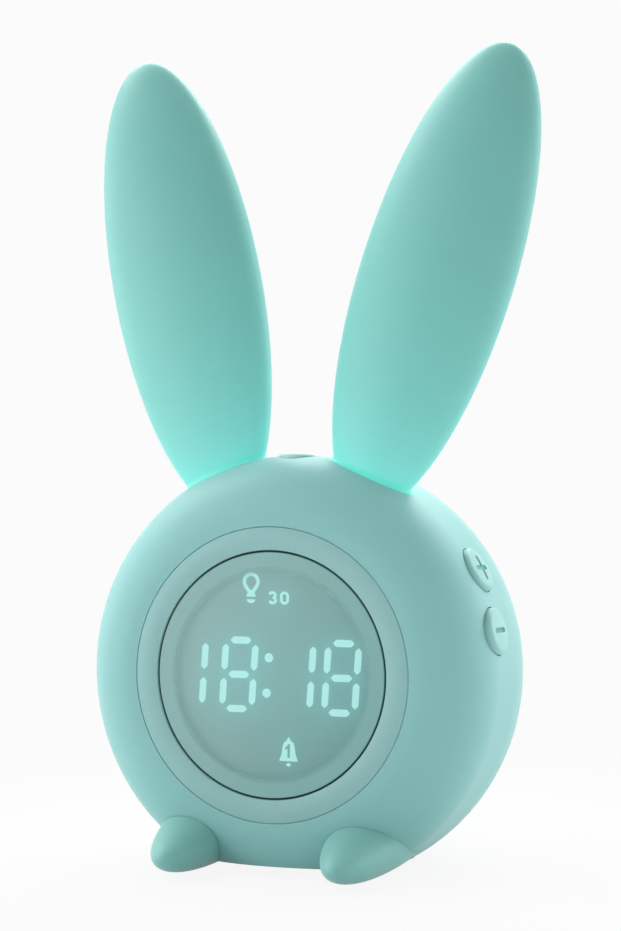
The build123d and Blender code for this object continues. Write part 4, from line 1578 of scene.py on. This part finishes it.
    def spill(self, points: Array) -> Array:
        """How much of the ear's light falls on points of the body near its root.

        Args:
            points: rows of coordinates in millimetres.

        Returns:
            Shares from 0 to 1.
        """
        offset = points - self.middle
        axes = (self.across, self.through, self.along)
        sizes = (self.half_width, self.half_thickness, self.half_length)
        shape = np.stack([offset @ axis / size for axis, size in zip(axes, sizes)], axis=-1)
        length = np.maximum(np.linalg.norm(shape, axis=-1), 1e-6)
        gap = np.linalg.norm(offset, axis=-1) * (1 - 1 / length)
        return np.exp(-np.maximum(gap, 0.0) / self.spill_fade)


# ---- Feet --------------------------------------------------------------------


@dataclass
class PawFoot:
    """A rounded foot that runs under the body, with a flat sole."""

    form: BodyForm
    side: Side
    spacing: float = 45.7
    half_length: float = 43.0
    half_width: float = 11.4
    half_height: float = 8.9
    pitch: float = 8.3
    reach: float = 15.7
    toe_height: float = 5.1
    end_forward: float = 5.0
    seat_gap: float = 0.1
    block_half_width: float = 80.0
    block_half_height: float = 60.0
    columns: int = 112
    rows: int = 96

    @property
    def axes(self) -> tuple[Array, Array, Array]:
        """The egg's directions: across, to the toe and up."""
        turn = math.radians(self.pitch)
        return (
            self.form.right,
            np.array([0.0, -math.cos(turn), -math.sin(turn)]),
            np.array([0.0, -math.sin(turn), math.cos(turn)]),
        )

    @property
    def middle(self) -> Array:
        """The egg's middle."""
        turn = math.radians(self.pitch)
        return np.array(
            [
                self.side.value * self.spacing / 2,
                self.half_length * math.cos(turn) - self.form.face_depth - self.reach,
                self.toe_height + self.half_length * math.sin(turn),
            ]
        )

    @property
    def sizes(self) -> Array:
        """Half the egg's sizes along its directions."""
        return np.array([self.half_width, self.half_length, self.half_height])

    def _local(self, points: Array) -> Array:
        """Coordinates of points along the egg's directions."""
        return np.stack([(points - self.middle) @ axis for axis in self.axes], axis=-1)

    def distance(self, points: Array) -> Array:
        """Rough distance of points from the egg's surface.

        Args:
            points: rows of coordinates in millimetres.

        Returns:
            The distances, negative inside.
        """
        local = self._local(points)
        scaled = np.linalg.norm(local / self.sizes, axis=-1)
        steep = np.linalg.norm(local / self.sizes**2, axis=-1) / np.maximum(scaled, 1e-9)
        return (scaled - 1) / np.maximum(steep, 1e-9)

    def slope(self, points: Array) -> Array:
        """The outward direction of the egg's surface near points.

        Args:
            points: rows of coordinates in millimetres.

        Returns:
            One unit vector for each point.
        """
        shares = np.moveaxis(self._local(points), -1, 0)[..., None]
        parts = zip(shares, self.axes, self.sizes)
        return unit(sum(share * axis / size**2 for share, axis, size in parts))

    def make(self) -> Piece:
        """Builds the foot and cuts it to the body and the table."""
        across, toe, over = self.axes
        turns = full_turn(self.columns)
        rows = []
        for rise in np.linspace(-math.pi / 2, math.pi / 2, self.rows):
            rows.append(
                self.middle
                + (self.half_width * math.cos(rise) * np.cos(turns))[:, None] * across
                + (self.half_height * math.cos(rise) * np.sin(turns))[:, None] * over
                + self.half_length * math.sin(rise) * toe
            )
        name = f"foot_{self.side.name.lower()}_skin"
        faces = Mesher.grid_faces(self.rows, self.columns)
        made = Mesher.from_arrays(name, np.vstack(rows), faces)
        Mesher.tidy(made)
        Mesher.flatten_below(made, 0.0)
        wide, high = self.block_half_width, self.block_half_height
        block = Mesher.prism(
            "behind",
            [(-wide, -high), (wide, -high), (wide, high), (-wide, high)],
            np.array([0.0, -self.end_forward, 0.0]),
            self.form.right,
            np.array([0.0, 1.0, 0.0]),
            wide,
        )
        Mesher.cut(made, block)
        Mesher.cut(made, self._seat())
        Mesher.smooth(made, 30.0)
        guide_normals(made, self.distance, self.slope, 0.02)
        return made

    def _seat(self) -> Piece:
        """The body's solid form, a seat's gap larger."""
        front = self.form.face_depth + self.seat_gap
        line = self.form.outline(-self.seat_gap, FAR_BACK, front)
        line = np.vstack([line, [(0.0, front)]])
        seat = Mesher.revolve("seat", line, self.form, closed=False)
        Mesher.flatten_below(seat, self.form.floor - self.seat_gap)
        return seat


# ---- Keys --------------------------------------------------------------------


@dataclass
class PushKey:
    """A round key in the body's side: a soft cap with its sign pressed in, a flange and a stem."""

    form: BodyForm
    name: str
    angle: float
    forward: float
    radius: float
    proud: float
    mark: Mark = Mark.NONE
    gap: float = 0.25
    edge_round: float = 1.25
    dome: float = 0.45
    flange_depth: float = 3.15
    flange_thickness: float = 0.8
    flange_overhang: float = 1.0
    stem_radius: float = 1.6
    stem_length: float = 2.0
    mark_half: float = 3.3
    mark_stroke: float = 0.55
    mark_depth: float = 0.5
    mark_soft: float = 0.2
    face_rows: int = 46
    edge_rows: int = 9
    columns: int = 128

    @property
    def hole(self) -> Hole:
        """The hole that the key moves in."""
        return Hole(self.angle, self.forward, self.radius + self.gap)

    def mark_gap(self, along: Array, up: Array) -> Array:
        """Distance of points on the face from the sign's centre line.

        Args:
            along: distances towards the display.
            up: distances up the side.

        Returns:
            The distances; those of a key without a sign are out of its reach.
        """
        flat = np.hypot(np.maximum(np.abs(along) - self.mark_half + self.mark_stroke, 0), up)
        tall = np.hypot(along, np.maximum(np.abs(up) - self.mark_half + self.mark_stroke, 0))
        choices = {
            Mark.NONE: np.full_like(along, 2 * self.radius),
            Mark.PLUS: np.minimum(flat, tall),
            Mark.MINUS: flat,
            Mark.RING: np.abs(np.hypot(along, up) - self.mark_half + self.mark_stroke),
            Mark.DOT: np.hypot(along, up) - self.mark_stroke * 0.6,
        }
        return choices[self.mark]

    def _sunk(self, along: Array, up: Array) -> Array:
        """How far points on the face lie in the sign, from 0 to 1."""
        past = self.mark_gap(along, up) - self.mark_stroke + self.mark_soft
        inside = 1 - np.clip(past / (2 * self.mark_soft), 0, 1)
        return inside * inside * (3 - 2 * inside)

    def _height(self, along: Array, up: Array) -> Array:
        """Height of the cap's face over the skin, sign and dome included."""
        span = (along**2 + up**2) / self.radius**2
        return self.proud - self.dome * span - self.mark_depth * self._sunk(along, up)

    def make(self) -> Piece:
        """Builds the key as one closed cap."""
        turns = full_turn(self.columns)
        outward = self.form.outward(self.angle)
        base = self.form.around(self.angle, self.forward, self.form.radius)
        along, up = self.form.forward, np.cross(outward, self.form.forward)
        round_off = min(self.edge_round, self.proud * 0.95)
        flat = self.radius - round_off
        rows = []

        def add(radius: float, height: Numbers) -> None:
            """Stores one ring of points."""
            ring = (radius * np.cos(turns))[:, None] * along
            ring = ring + (radius * np.sin(turns))[:, None] * up
            rows.append(base + ring + np.broadcast_to(height, turns.shape)[:, None] * outward)

        for radius in np.linspace(0.0, flat, self.face_rows):
            add(radius, self._height(radius * np.cos(turns), radius * np.sin(turns)))
        rim = self.proud - self.dome * (flat / self.radius) ** 2 - round_off
        for turn in np.linspace(0.0, math.pi / 2, self.edge_rows)[1:]:
            add(flat + round_off * math.sin(turn), rim + round_off * math.cos(turn))
        bottom = -self.flange_depth - self.flange_thickness
        wide, end = self.radius + self.flange_overhang, bottom - self.stem_length
        for radius, height in (
            (self.radius, -self.flange_depth),
            (wide, -self.flange_depth),
            (wide, bottom),
            (self.stem_radius, bottom),
            (self.stem_radius, end),
            (0.0, end),
        ):
            add(radius, height)
        faces = Mesher.grid_faces(len(rows), self.columns)
        made = Mesher.from_arrays(f"{self.name}_cap", np.vstack(rows), faces)
        offset = Mesher.places(made) - base
        # the sunk share, by which the finish paints shade into the sign
        Mesher.store(made, "mark", self._sunk(offset @ along, offset @ up))
        Mesher.tidy(made)
        Mesher.smooth(made, 50.0)
        return made


# ---- Display -----------------------------------------------------------------


class Stroke:
    """A line of the display drawn with a pen of one width."""

    def __init__(
        self, points: Sequence[tuple[float, float]], width: float, closed: bool = False
    ) -> None:
        """Stores a line.

        Args:
            points: places in the face's plane.
            width: the pen's width.
            closed: whether the line's end joins its start.
        """
        self.points = np.array(points, float)
        self.width = width
        self.closed = closed

    def outline(self) -> tuple[Array, Array]:
        """The line's two edges, offset half the width each way."""
        line = self.points
        if self.closed:
            before, after = np.roll(line, 1, axis=0), np.roll(line, -1, axis=0)
        else:
            before, after = np.vstack([line[:1], line[:-1]]), np.vstack([line[1:], line[-1:]])
        way = unit(after - before)
        side = np.stack([-way[:, 1], way[:, 0]], axis=-1) * self.width / 2
        return line + side, line - side

    def gap(self, spots: Array) -> Array:
        """Distance of spots from the line.

        Args:
            spots: rows of places in the face's plane.

        Returns:
            The distances in millimetres.
        """
        line = np.vstack([self.points, self.points[:1]]) if self.closed else self.points
        best = np.full(len(spots), 1e9)
        for start, end in zip(line[:-1], line[1:]):
            span = end - start
            part = np.clip((spots - start) @ span / max(float(span @ span), 1e-9), 0, 1)
            best = np.minimum(best, np.linalg.norm(spots - start - part[:, None] * span, axis=-1))
        return best


@dataclass
class RoundDisplay:
    """The display: bezel ring, window, seal, lamp face and everything that is lit on it."""

    form: BodyForm
    seat_depth: float = 24.6
    bezel_radius: float = 36.76
    bezel_soft: float = 0.3
    window_radius: float = 30.95
    lens_radius: float = 30.42
    lens_thickness: float = 1.8
    lens_soft: float = 0.12
    lens_band: float = 0.2
    seal_drop: float = 0.45
    seal_lap: float = 0.1
    seal_dip: float = 0.12
    face_depth: float = 24.5
    face_radius: float = 28.55
    face_rows: int = 92
    face_columns: int = 168
    board_depth: float = 18.4
    print_radius: float = 27.4
    print_fade: float = 2.4
    lit_lift: float = 0.03
    halo: float = 0.055
    halo_fade: float = 5.0
    near_halo: float = 0.035
    near_fade: float = 0.8
    digit_width: float = 8.1
    digit_height: float = 17.1
    digit_drop: float = 0.25
    slant: float = 3.6
    bar_width: float = 1.8
    bar_nick: float = 0.1
    bar_end_gap: float = 1.05
    bar_side_gap: float = 1.25
    digit_centres: tuple[float, ...] = (-23.0, -9.3, 6.35, 18.45)
    digits: tuple[str, ...] = ("1", "8", "1", "8")
    colon: tuple[tuple[float, float], ...] = ((-1.12, 4.15), (-1.68, -4.65))
    colon_radius: float = 1.15
    strokes: list[Stroke] = field(default_factory=list)

    @property
    def lit_depth(self) -> float:
        """How far forward the lit shapes' faces lie."""
        return self.face_depth + self.lit_lift

    def flat_shape(self, name: str, shape: Line, lift: float = 0.0, reach: float = PLATE) -> Piece:
        """A thin plate among the lit shapes.

        Args:
            name: the object's name.
            shape: rows of places in the face's plane, anticlockwise.
            lift: how far its face lies forward of the others'.
            reach: its thickness.

        Returns:
            The plate.
        """
        base = self.form.at(0.0, 0.0, self.lit_depth + lift - reach)
        return Mesher.prism(name, shape, base, self.form.right, self.form.forward, reach)

    def bezel(self) -> Piece:
        """The flush ring round the window, with softened edges."""
        front, soft = self.form.face_depth, self.bezel_soft
        bevel = soft * 0.3
        line = [
            (self.bezel_radius, self.seat_depth),
            (self.bezel_radius, front - soft),
            (self.bezel_radius - bevel, front - bevel),
            (self.bezel_radius - soft, front),
            (self.window_radius + soft, front),
            (self.window_radius + bevel, front - bevel),
            (self.window_radius, front - soft),
            (self.window_radius, self.seat_depth),
        ]
        ring = Mesher.revolve("bezel_flush", line, self.form, 256)
        Mesher.smooth(ring, 60.0)
        return ring

    def window(self) -> Piece:
        """The tinted disc, whose front is milky at its rim."""
        front = self.seat_depth + self.lens_thickness
        clear = self.print_radius - self.print_fade
        fade = np.linspace(clear, self.print_radius, 9)
        flat = (0.0, *fade, self.lens_radius - self.lens_soft)
        line = [(radius, front) for radius in flat]
        line += [(self.lens_radius, front - self.lens_soft), (self.lens_radius, self.seat_depth)]
        line += [(radius, self.seat_depth) for radius in flat[::-1]]
        disc = Mesher.revolve("window_disc", line, self.form, 256, closed=False)
        offset = Mesher.places(disc) - self.form.centre
        spread = np.hypot(offset @ self.form.right, offset @ self.form.up)
        part = np.clip((spread - clear) / self.print_fade, 0, 1)
        on_front = offset @ self.form.forward > front - self.lens_band
        Mesher.store(disc, "rim", on_front * part * part * (3 - 2 * part))
        self._store_painted_side_light(disc)
        Mesher.smooth(disc, 30.0)
        return disc

    def _store_painted_side_light(self, made: Piece) -> None:
        """Stores a share of painted light and shade: highest towards the left and top, lowest to
        the right and bottom.

        Args:
            made: the window or the face behind it.
        """
        offset = (Mesher.places(made) - self.form.centre) / self.lens_radius
        painted_side_share = 0.5 - 0.45 * (offset @ self.form.right) + 0.2 * (offset @ self.form.up)
        Mesher.store(made, "edge", np.clip(painted_side_share, 0, 1))

    def seal(self) -> Piece:
        """The dark seal in the gap round the window: a rubber seal whose near-black also stands in
        for the gap's shade, as painted shade.
        """
        top = self.seat_depth + self.lens_thickness - self.seal_drop
        middle = (self.lens_radius + self.window_radius) / 2
        line = [
            (self.window_radius - self.seal_lap, self.seat_depth),
            (self.window_radius - self.seal_lap, top),
            (middle, top - self.seal_dip),
            (self.lens_radius + self.seal_lap, top),
            (self.lens_radius + self.seal_lap, self.seat_depth),
        ]
        ring = Mesher.revolve("window_seal", line, self.form, 192)
        Mesher.smooth(ring, 40.0)
        return ring

    def _bar(self, centre: tuple[float, float], length: float, upright: bool) -> Array:
        """The outline of a pointed bar of a digit.

        Args:
            centre: its middle before the digits are slanted.
            length: its length.
            upright: whether it stands.

        Returns:
            Rows of places in the face's plane, from one point by way of the other.
        """
        half, edge, nick = length / 2, self.bar_width / 2, self.bar_nick
        lower = [(-half, -nick), (-half + edge - nick, -edge)]
        lower += [(half - edge + nick, -edge), (half, -nick)]
        bar = np.array(lower + [(x, -y) for x, y in lower[::-1]])
        if upright:
            bar = np.stack([-bar[:, 1], bar[:, 0]], axis=-1)
        bar = bar + centre
        bar[:, 0] += bar[:, 1] * math.tan(math.radians(self.slant))
        return bar - (0.0, self.digit_drop)

    def _digit(self, centre: float, shown: str) -> list[Array]:
        """The outlines of one digit's lit bars.

        Args:
            centre: the digit's middle.
            shown: the digit, 1 or 8.

        Returns:
            One outline for each bar.
        """
        half_width, half_height = self.digit_width / 2, self.digit_height / 2
        tall = half_height - 2 * self.bar_end_gap
        wide = self.digit_width - 2 * self.bar_side_gap
        sides = (1,) if shown == "1" else (1, -1)
        bars = [
            self._bar((centre + side * half_width, level * half_height / 2), tall, True)
            for side in sides
            for level in (1, -1)
        ]
        if shown == "8":
            bars += [self._bar((centre, level * half_height), wide, False) for level in (-1, 0, 1)]
        return bars

    def numerals(self) -> Piece:
        """The lit hours, minutes and colon."""
        plates = []
        for centre, shown in zip(self.digit_centres, self.digits):
            for bar in self._digit(centre, shown):
                plates.append(self.flat_shape("bar", bar))
                self.strokes.append(Stroke([tuple(bar[0]), tuple(bar[3])], self.bar_width))
        for spot in self.colon:
            dot = ellipse(self.colon_radius, self.colon_radius, 40) + spot
            plates.append(self.flat_shape("dot", dot))
            self.strokes.append(Stroke([spot, spot], 2 * self.colon_radius))
        return Mesher.join("numerals_lit", plates)

    def icons(self) -> Piece:
        """The lit lamp sign, the count beside it and the bell."""
        return Mesher.join("signs_lit", self._lamp_sign() + self._count() + self._bell())

    def _band(self, name: str, stroke: Stroke) -> Piece:
        """A stroke as a thin closed band.

        Args:
            name: the object's name.
            stroke: the line, which also adds to the halo.

        Returns:
            The band.
        """
        left, right = stroke.outline()
        self.strokes.append(stroke)
        count = len(left)
        front = np.vstack([left, right])
        layers = [
            self.form.at(front[:, 0], front[:, 1], self.lit_depth - drop)
            for drop in (0.0, PLATE)
        ]
        faces = []
        last = count if stroke.closed else count - 1
        for i in range(last):
            j = (i + 1) % count
            faces.append((i, j, count + j, count + i))
            faces.append((2 * count + i, 3 * count + i, 3 * count + j, 2 * count + j))
            faces.append((i, 2 * count + i, 2 * count + j, j))
            faces.append((count + i, count + j, 3 * count + j, 3 * count + i))
        if not stroke.closed:
            for end in (0, count - 1):
                faces.append((end, count + end, 3 * count + end, 2 * count + end))
        made = Mesher.from_arrays(name, np.vstack(layers), faces)
        Mesher.tidy(made)
        return made

    def _lamp_sign(self) -> list[Piece]:
        """A lamp bulb: an open drop, its collar and its foot."""
        middle, height, radius = -6.1, 22.95, 1.87
        arc = np.radians(np.linspace(-40, 220, 36))
        drop = [(middle + radius * math.cos(t), height + radius * math.sin(t)) for t in arc]
        neck = [(middle - 0.62, 20.6), (middle + 0.0, 20.45), (middle + 0.62, 20.6)]
        bulb = self._band("bulb", Stroke(drop + neck, 0.92, closed=True))
        half = [(0.9, 20.9), (0.92, 20.25), (1.3, 19.2)]
        collar = np.array([(-x, y) for x, y in half] + half[::-1]) + (middle, 0.0)
        arc = np.radians(np.linspace(180, 360, 15))
        foot = [(middle + 1.15 * math.cos(t), 18.55 + 1.0 * math.sin(t)) for t in arc]
        return [bulb, self.flat_shape("collar", collar), self.flat_shape("lamp_foot", foot)]

    def _count(self) -> list[Piece]:
        """The number 30 in rounded strokes."""
        three = [(0.0, 2.1), (0.35, 2.5), (1.1, 2.55), (1.6, 2.1), (1.55, 1.6), (1.0, 1.3)]
        three += [(1.6, 1.0), (1.68, 0.45), (1.25, 0.0), (0.45, 0.0), (0.0, 0.45)]
        zero = [(0.45, 0.0), (1.25, 0.0), (1.7, 0.45), (1.7, 2.05)]
        zero += [(1.25, 2.5), (0.45, 2.5), (0.0, 2.05), (0.0, 0.45)]
        shifts = ((-1.06, 17.8, three, False), (2.15, 17.82, zero, True))
        return [
            self._band("count", Stroke([(x + a, y + b) for a, b in line], 0.78, closed))
            for x, y, line, closed in shifts
        ]

    def _bell(self) -> list[Piece]:
        """A bell with the number 1 left dark in it, a knob and a clapper."""
        middle, low = 4.4, -21.3
        half = [(0.42, 5.1), (1.05, 4.85), (1.45, 4.25), (1.7, 3.3), (1.8, 2.2)]
        half += [(1.95, 1.6), (2.25, 0.85), (2.45, 0.25), (2.42, 0.0)]
        right = [(middle + a, low + b) for a, b in half]
        left = [(middle - a, low + b) for a, b in half[::-1]]
        bell = self.flat_shape("bell", (right + left)[::-1])
        one = [(0.36, 0.85), (0.36, 4.3), (0.02, 4.25), (-0.98, 3.2)]
        one += [(-0.72, 2.85), (-0.3, 3.15), (-0.3, 0.85)]
        gap = self.flat_shape("one", [(middle + a, low + b) for a, b in one], 1.0, 3.0)
        Mesher.cut(bell, gap)
        knob = self.flat_shape("knob", ellipse(0.45, 0.6, 24) + (middle, low + 5.25), -0.004)
        clapper = self.flat_shape("clapper", ellipse(0.62, 0.4, 24) + (middle, low - 0.87))
        self.strokes.append(Stroke([(middle, low), (middle, low + 4.6)], 3.4))
        return [bell, knob, clapper]

    def lamp_face(self) -> Piece:
        """The face behind the window, with the halo of everything lit stored on it."""
        radii = np.linspace(0.0, self.face_radius, self.face_rows)
        line = [(radius, self.face_depth) for radius in radii]
        line += [(self.face_radius, self.board_depth), (0.0, self.board_depth)]
        made = Mesher.revolve("lamp_face", line, self.form, self.face_columns, closed=False)
        offset = Mesher.places(made) - self.form.centre
        spots = np.stack([offset @ self.form.right, offset @ self.form.up], axis=-1)
        # painted light: the glow that the lit shapes spread on the face round them
        glow = np.zeros(len(spots))
        for stroke in self.strokes:
            gap = np.maximum(stroke.gap(spots) - stroke.width / 2, 0)
            glow += self.halo * np.exp(-gap / self.halo_fade)
            glow += self.near_halo * np.exp(-((gap / self.near_fade) ** 2))
        Mesher.store(made, "glow", np.clip(glow, 0, 1))
        self._store_painted_side_light(made)
        Mesher.smooth(made, 30.0)
        return made


# ---- Stage -------------------------------------------------------------------


def away(azimuth: float, elevation: float) -> Vector:
    """The direction from the clock to a place round it.

    Args:
        azimuth: degrees from the front round to the right.
        elevation: degrees above the table.

    Returns:
        A vector of length 1.
    """
    turn, rise = math.radians(azimuth), math.radians(elevation)
    return Vector(
        (math.sin(turn) * math.cos(rise), -math.cos(turn) * math.cos(rise), math.sin(rise))
    )


@dataclass
class Studio:
    """The pale stage, the soft lamps and the camera."""

    target: tuple[float, float, float] = (0.000349, 0.000149, 0.101218)
    azimuth: float = 23.148
    elevation: float = 2.447
    roll: float = -0.727
    distance: float = 0.680326
    focal_pixels: float = 2658.47
    frame_height: int = 931
    sensor: float = 36.0
    white: float = 0.9647
    floor_half: float = 6.0
    floor_grey: float = 0.05
    floor_lift: float = 0.062
    shadow_reach: float = 0.12
    lamp_target: float = 0.1
    lamp_reach: float = 1.2
    lamp_size: float = 0.7
    lamps: tuple[tuple[str, float, float, float], ...] = (
        ("back_high", 180.0, 45.0, 9.9),
        ("back_left", 225.0, 45.0, 7.0),
        ("left_high", 270.0, 45.0, 7.0),
        ("left_low", 270.0, 10.0, 2.9),
        ("front_left", 315.0, 10.0, 4.5),
        ("right_low", 90.0, 10.0, 2.9),
        ("back_right", 135.0, 10.0, 4.1),
        ("right_high", 135.0, 45.0, 3.4),
        ("top", 0.0, 85.0, 0.8),
    )
    ambient: float = 0.46

    def camera(self) -> None:
        """Sets the camera."""
        turn = math.radians(self.azimuth)
        back = away(self.azimuth, self.elevation)
        level = Vector((math.cos(turn), math.sin(turn), 0.0))
        roll = Matrix.Rotation(math.radians(self.roll), 3, back)
        right, up = roll @ level, roll @ back.cross(level)
        place = Vector(self.target) + back * self.distance
        lens = bpy.data.cameras.new("camera")
        lens.sensor_width = self.sensor
        lens.lens = self.focal_pixels * self.sensor / self.frame_height
        lens.clip_start = 0.01
        lens.clip_end = 50.0
        camera = add_object("camera", lens)
        rows = [(*row, spot) for row, spot in zip(zip(right, up, back), place)]
        camera.matrix_world = Matrix([*rows, (0, 0, 0, 1)])
        bpy.context.scene.camera = camera

    def light(self) -> None:
        """Sets the soft lamps, which all look at the clock, and the world."""
        for name, azimuth, elevation, power in self.lamps:
            way = away(azimuth, elevation)
            light = bpy.data.lights.new(name, "AREA")
            light.shape = "DISK"
            light.size = self.lamp_size
            light.energy = power
            lamp = add_object(name, light)
            lamp.location = Vector((0.0, 0.0, self.lamp_target)) + way * self.lamp_reach
            lamp.rotation_euler = (-way).to_track_quat("-Z", "Y").to_euler()
        bpy.context.scene.world = bpy.data.worlds.new("world")
        shader = Shader("world", bpy.context.scene.world)
        soft, plain = (
            shader.node(
                "ShaderNodeBackground", {}, {"Color": with_alpha((level,) * 3), "Strength": power}
            )
            for level, power in ((1.0, self.ambient), (self.white, 1.0))
        )
        shader.end(shader.node("ShaderNodeMixShader", {}, {0: shader.seen(), 1: soft, 2: plain}))

    def floor(self) -> None:
        """Sets the pale floor, which shows white and keeps a faint shadow."""
        half = self.floor_half
        corners = [(-half, -half, 0), (half, -half, 0), (half, half, 0), (-half, half, 0)]
        mesh = bpy.data.meshes.new("floor")
        mesh.from_pydata(corners, [], [(0, 1, 2, 3)])
        floor = add_object("floor", mesh)
        shader = Shader("pale_floor")
        grey = (self.floor_grey,) * 3
        mottle = shader.blend(shader.noise(3.0), grey, darker(grey, 0.94))
        matt = shader.node("ShaderNodeBsdfDiffuse", {}, {"Color": mottle})
        glow, bright = (
            shader.node("ShaderNodeEmission", {}, {"Color": with_alpha(WHITE), "Strength": power})
            for power in (self.white - self.floor_lift, self.white)
        )
        shade = shader.node("ShaderNodeAddShader", {}, {0: matt, 1: glow})
        length = {"operation": "LENGTH"}
        distance = shader.node("ShaderNodeVectorMath", length, {0: shader.place()}, "Value")
        near = (1.5 - distance * (1.0 / self.shadow_reach)).held()
        shown = shader.node("ShaderNodeMixShader", {}, {0: near, 1: bright, 2: shade})
        plain = shader.node("ShaderNodeBsdfDiffuse", {}, {"Color": (0.8, 0.8, 0.8, 1.0)})
        mixed = shader.node("ShaderNodeMixShader", {}, {0: shader.seen(), 1: plain, 2: shown})
        dress(floor, shader.end(mixed))


# ---- The whole clock ---------------------------------------------------------


@dataclass
class Clock:
    """The whole clock: builds every visible piece and dresses what stays from the model."""

    frame: dict
    form: BodyForm = field(default_factory=BodyForm)
    finishes: dict[str, Paint] = field(default_factory=dict)

    def dress_model(self) -> None:
        """Gives every carried-over piece a finish by its material slot."""
        rubber, black = (0.018, 0.020, 0.022), (0.015, 0.015, 0.017)
        finishes = {
            "housing_plastic": SoftTouch("housing_inner", (0.22, 0.45, 0.43), (0.20, 0.42, 0.40)),
            "bezel_plastic": SoftTouch("bezel_inner", (0.26, 0.49, 0.47), (0.24, 0.46, 0.44)),
            "button_plastic": SoftTouch("key_inner", (0.22, 0.45, 0.43), (0.20, 0.42, 0.40)),
            "board_green": CircuitBoard(),
            # a rubber seal, painted near-black partly as painted shade in the window's gap
            "gasket_rubber": MouldedPlastic("seal_rubber", (0.006, 0.036, 0.040), 0.8),
            "module_plastic": MouldedPlastic("module_plastic", (0.30, 0.45, 0.43), 0.5),
            "inner_plastic": MouldedPlastic("carrier_plastic", (0.62, 0.63, 0.60), 0.45),
            "pad_rubber": MouldedPlastic("pad_rubber", rubber, 0.75, 0.3, 0.00008),
            "switch_plastic": MouldedPlastic("switch_plastic", (0.02, 0.02, 0.022), 0.4),
            "plunger_plastic": MouldedPlastic("plunger_plastic", (0.55, 0.55, 0.52), 0.35),
            "silicone": MouldedPlastic("inner_silicone", (0.30, 0.55, 0.52), 0.5),
            "cell_foil": Foil(),
            "speaker_frame": MouldedPlastic("speaker_black", black, 0.5, 0.3, 0.0001),
            "steel": PlatedSteel(),
        }
        self.finishes.update({slot: finish.make() for slot, finish in finishes.items()})
        for entry in self.frame["record"]["subparts"]:
            if entry["material_slot"] in finishes:
                piece = self.frame["nodes"][entry["node"]]
                dress(piece, self.finishes[entry["material_slot"]])

    def show(self, piece: Piece, material: Paint, body: str, slot: str, *nodes: str) -> None:
        """Dresses a finished piece, hands it to its body and reports it.

        Args:
            piece: the finished object.
            material: its finish.
            body: the model's body that it moves with.
            slot: the record's material slot; not used.
            nodes: the model's nodes that it stands for.
        """
        dress(piece, material)
        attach(piece, body)
        if nodes:
            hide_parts(*nodes)
        LOG.info("%s rides on %s, %d faces", piece.name, body, len(piece.data.polygons))

    def keys(self) -> list[PushKey]:
        """The five keys, with their places on the body."""
        return [
            PushKey(self.form, "snooze", 90.0, 10.3, 4.6, 0.8),
            PushKey(self.form, "plus", 29.1, 7.5, 5.9, 1.4, Mark.PLUS),
            PushKey(self.form, "minus", 12.3, 9.7, 5.9, 1.4, Mark.MINUS),
            PushKey(self.form, "set", 150.9, 3.5, 5.9, 1.4, Mark.RING),
            PushKey(self.form, "alarm", 167.7, 3.5, 5.9, 1.4, Mark.DOT),
        ]

    def build(self) -> None:
        """Builds and dresses every piece in order."""
        self.dress_model()
        # the last colour is painted shade in the keys' pressed-in signs
        main, shade, sign = (0.214, 0.470, 0.455), (0.202, 0.450, 0.435), (0.085, 0.330, 0.290)
        skin = SoftTouch("soft_touch_body", main, shade, glow_strength=1.0).make()
        paw = SoftTouch("soft_touch_paws", (0.185, 0.442, 0.412), (0.175, 0.422, 0.392)).make()
        main, shade = (0.250, 0.500, 0.482), (0.238, 0.480, 0.462)
        cap = SoftTouch("soft_touch_keys", main, shade, sunk_shade=sign).make()
        # painted light: the snooze cap is a paler mint than the other keys, lightened further to
        # stand in for the light on its top
        painted_lit_cap = SoftTouch("soft_touch_snooze", (0.46, 0.71, 0.68), (0.44, 0.69, 0.66)).make()
        silicone = LitSilicone().make()
        ears = [GlowingEar(self.form, side) for side in Side]
        keys = self.keys()
        body = RoundBody(self.form)
        front = body.front([key.hole for key in keys], [ear.neck_solid() for ear in ears])
        points = Mesher.places(front)
        # painted light: the share of the ears' glow that falls on the front housing near their
        # roots
        Mesher.store(front, "glow", np.clip(sum(ear.spill(points) for ear in ears), 0, 1))
        self.show(front, skin, "housing", "housing_plastic", "front_housing")
        self.show(body.rear(), skin, "housing", "housing_plastic", "rear_housing")
        for ear in ears:
            self.show(ear.make(), silicone, "housing", "silicone", f"ear_{ear.side.name.lower()}")
        for side in Side:
            foot = PawFoot(self.form, side).make()
            self.show(foot, paw, "housing", "silicone", f"foot_{side.name.lower()}")
        for key in keys:
            finish = painted_lit_cap if key.name == "snooze" else cap
            self.show(key.make(), finish, f"{key.name}_key", "button_plastic", f"{key.name}_button")
        self._build_display()

    def _build_display(self) -> None:
        """Builds and dresses the display."""
        display = RoundDisplay(self.form)
        satin = SoftTouch("bezel_satin", (0.240, 0.452, 0.445), (0.231, 0.438, 0.431), 0.42).make()
        rubber, lit = self.finishes["gasket_rubber"], LitPlastic().make()
        self.show(display.bezel(), satin, "housing", "bezel_plastic", "bezel_ring")
        self.show(display.seal(), rubber, "housing", "gasket_rubber", "lens_gasket")
        self.show(display.numerals(), lit, "housing", "segment_light", "display_segments")
        self.show(display.icons(), lit, "housing", "segment_light")
        face = display.lamp_face()
        self.show(face, LampFace().make(), "housing", "module_plastic", "display_module")
        window = display.window()
        self.show(window, TintedAcrylic().make(), "housing", "lens_acrylic", "display_lens")


def main() -> None:
    """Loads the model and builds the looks."""
    logging.basicConfig(level=logging.INFO, format="%(name)s: %(message)s")
    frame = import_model()
    bpy.context.scene.view_settings.view_transform = "Standard"
    studio = Studio()
    studio.camera()
    studio.light()
    studio.floor()
    Clock(frame).build()
    bpy.context.view_layer.update()
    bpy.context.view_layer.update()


if __name__ == "__main__":
    main()
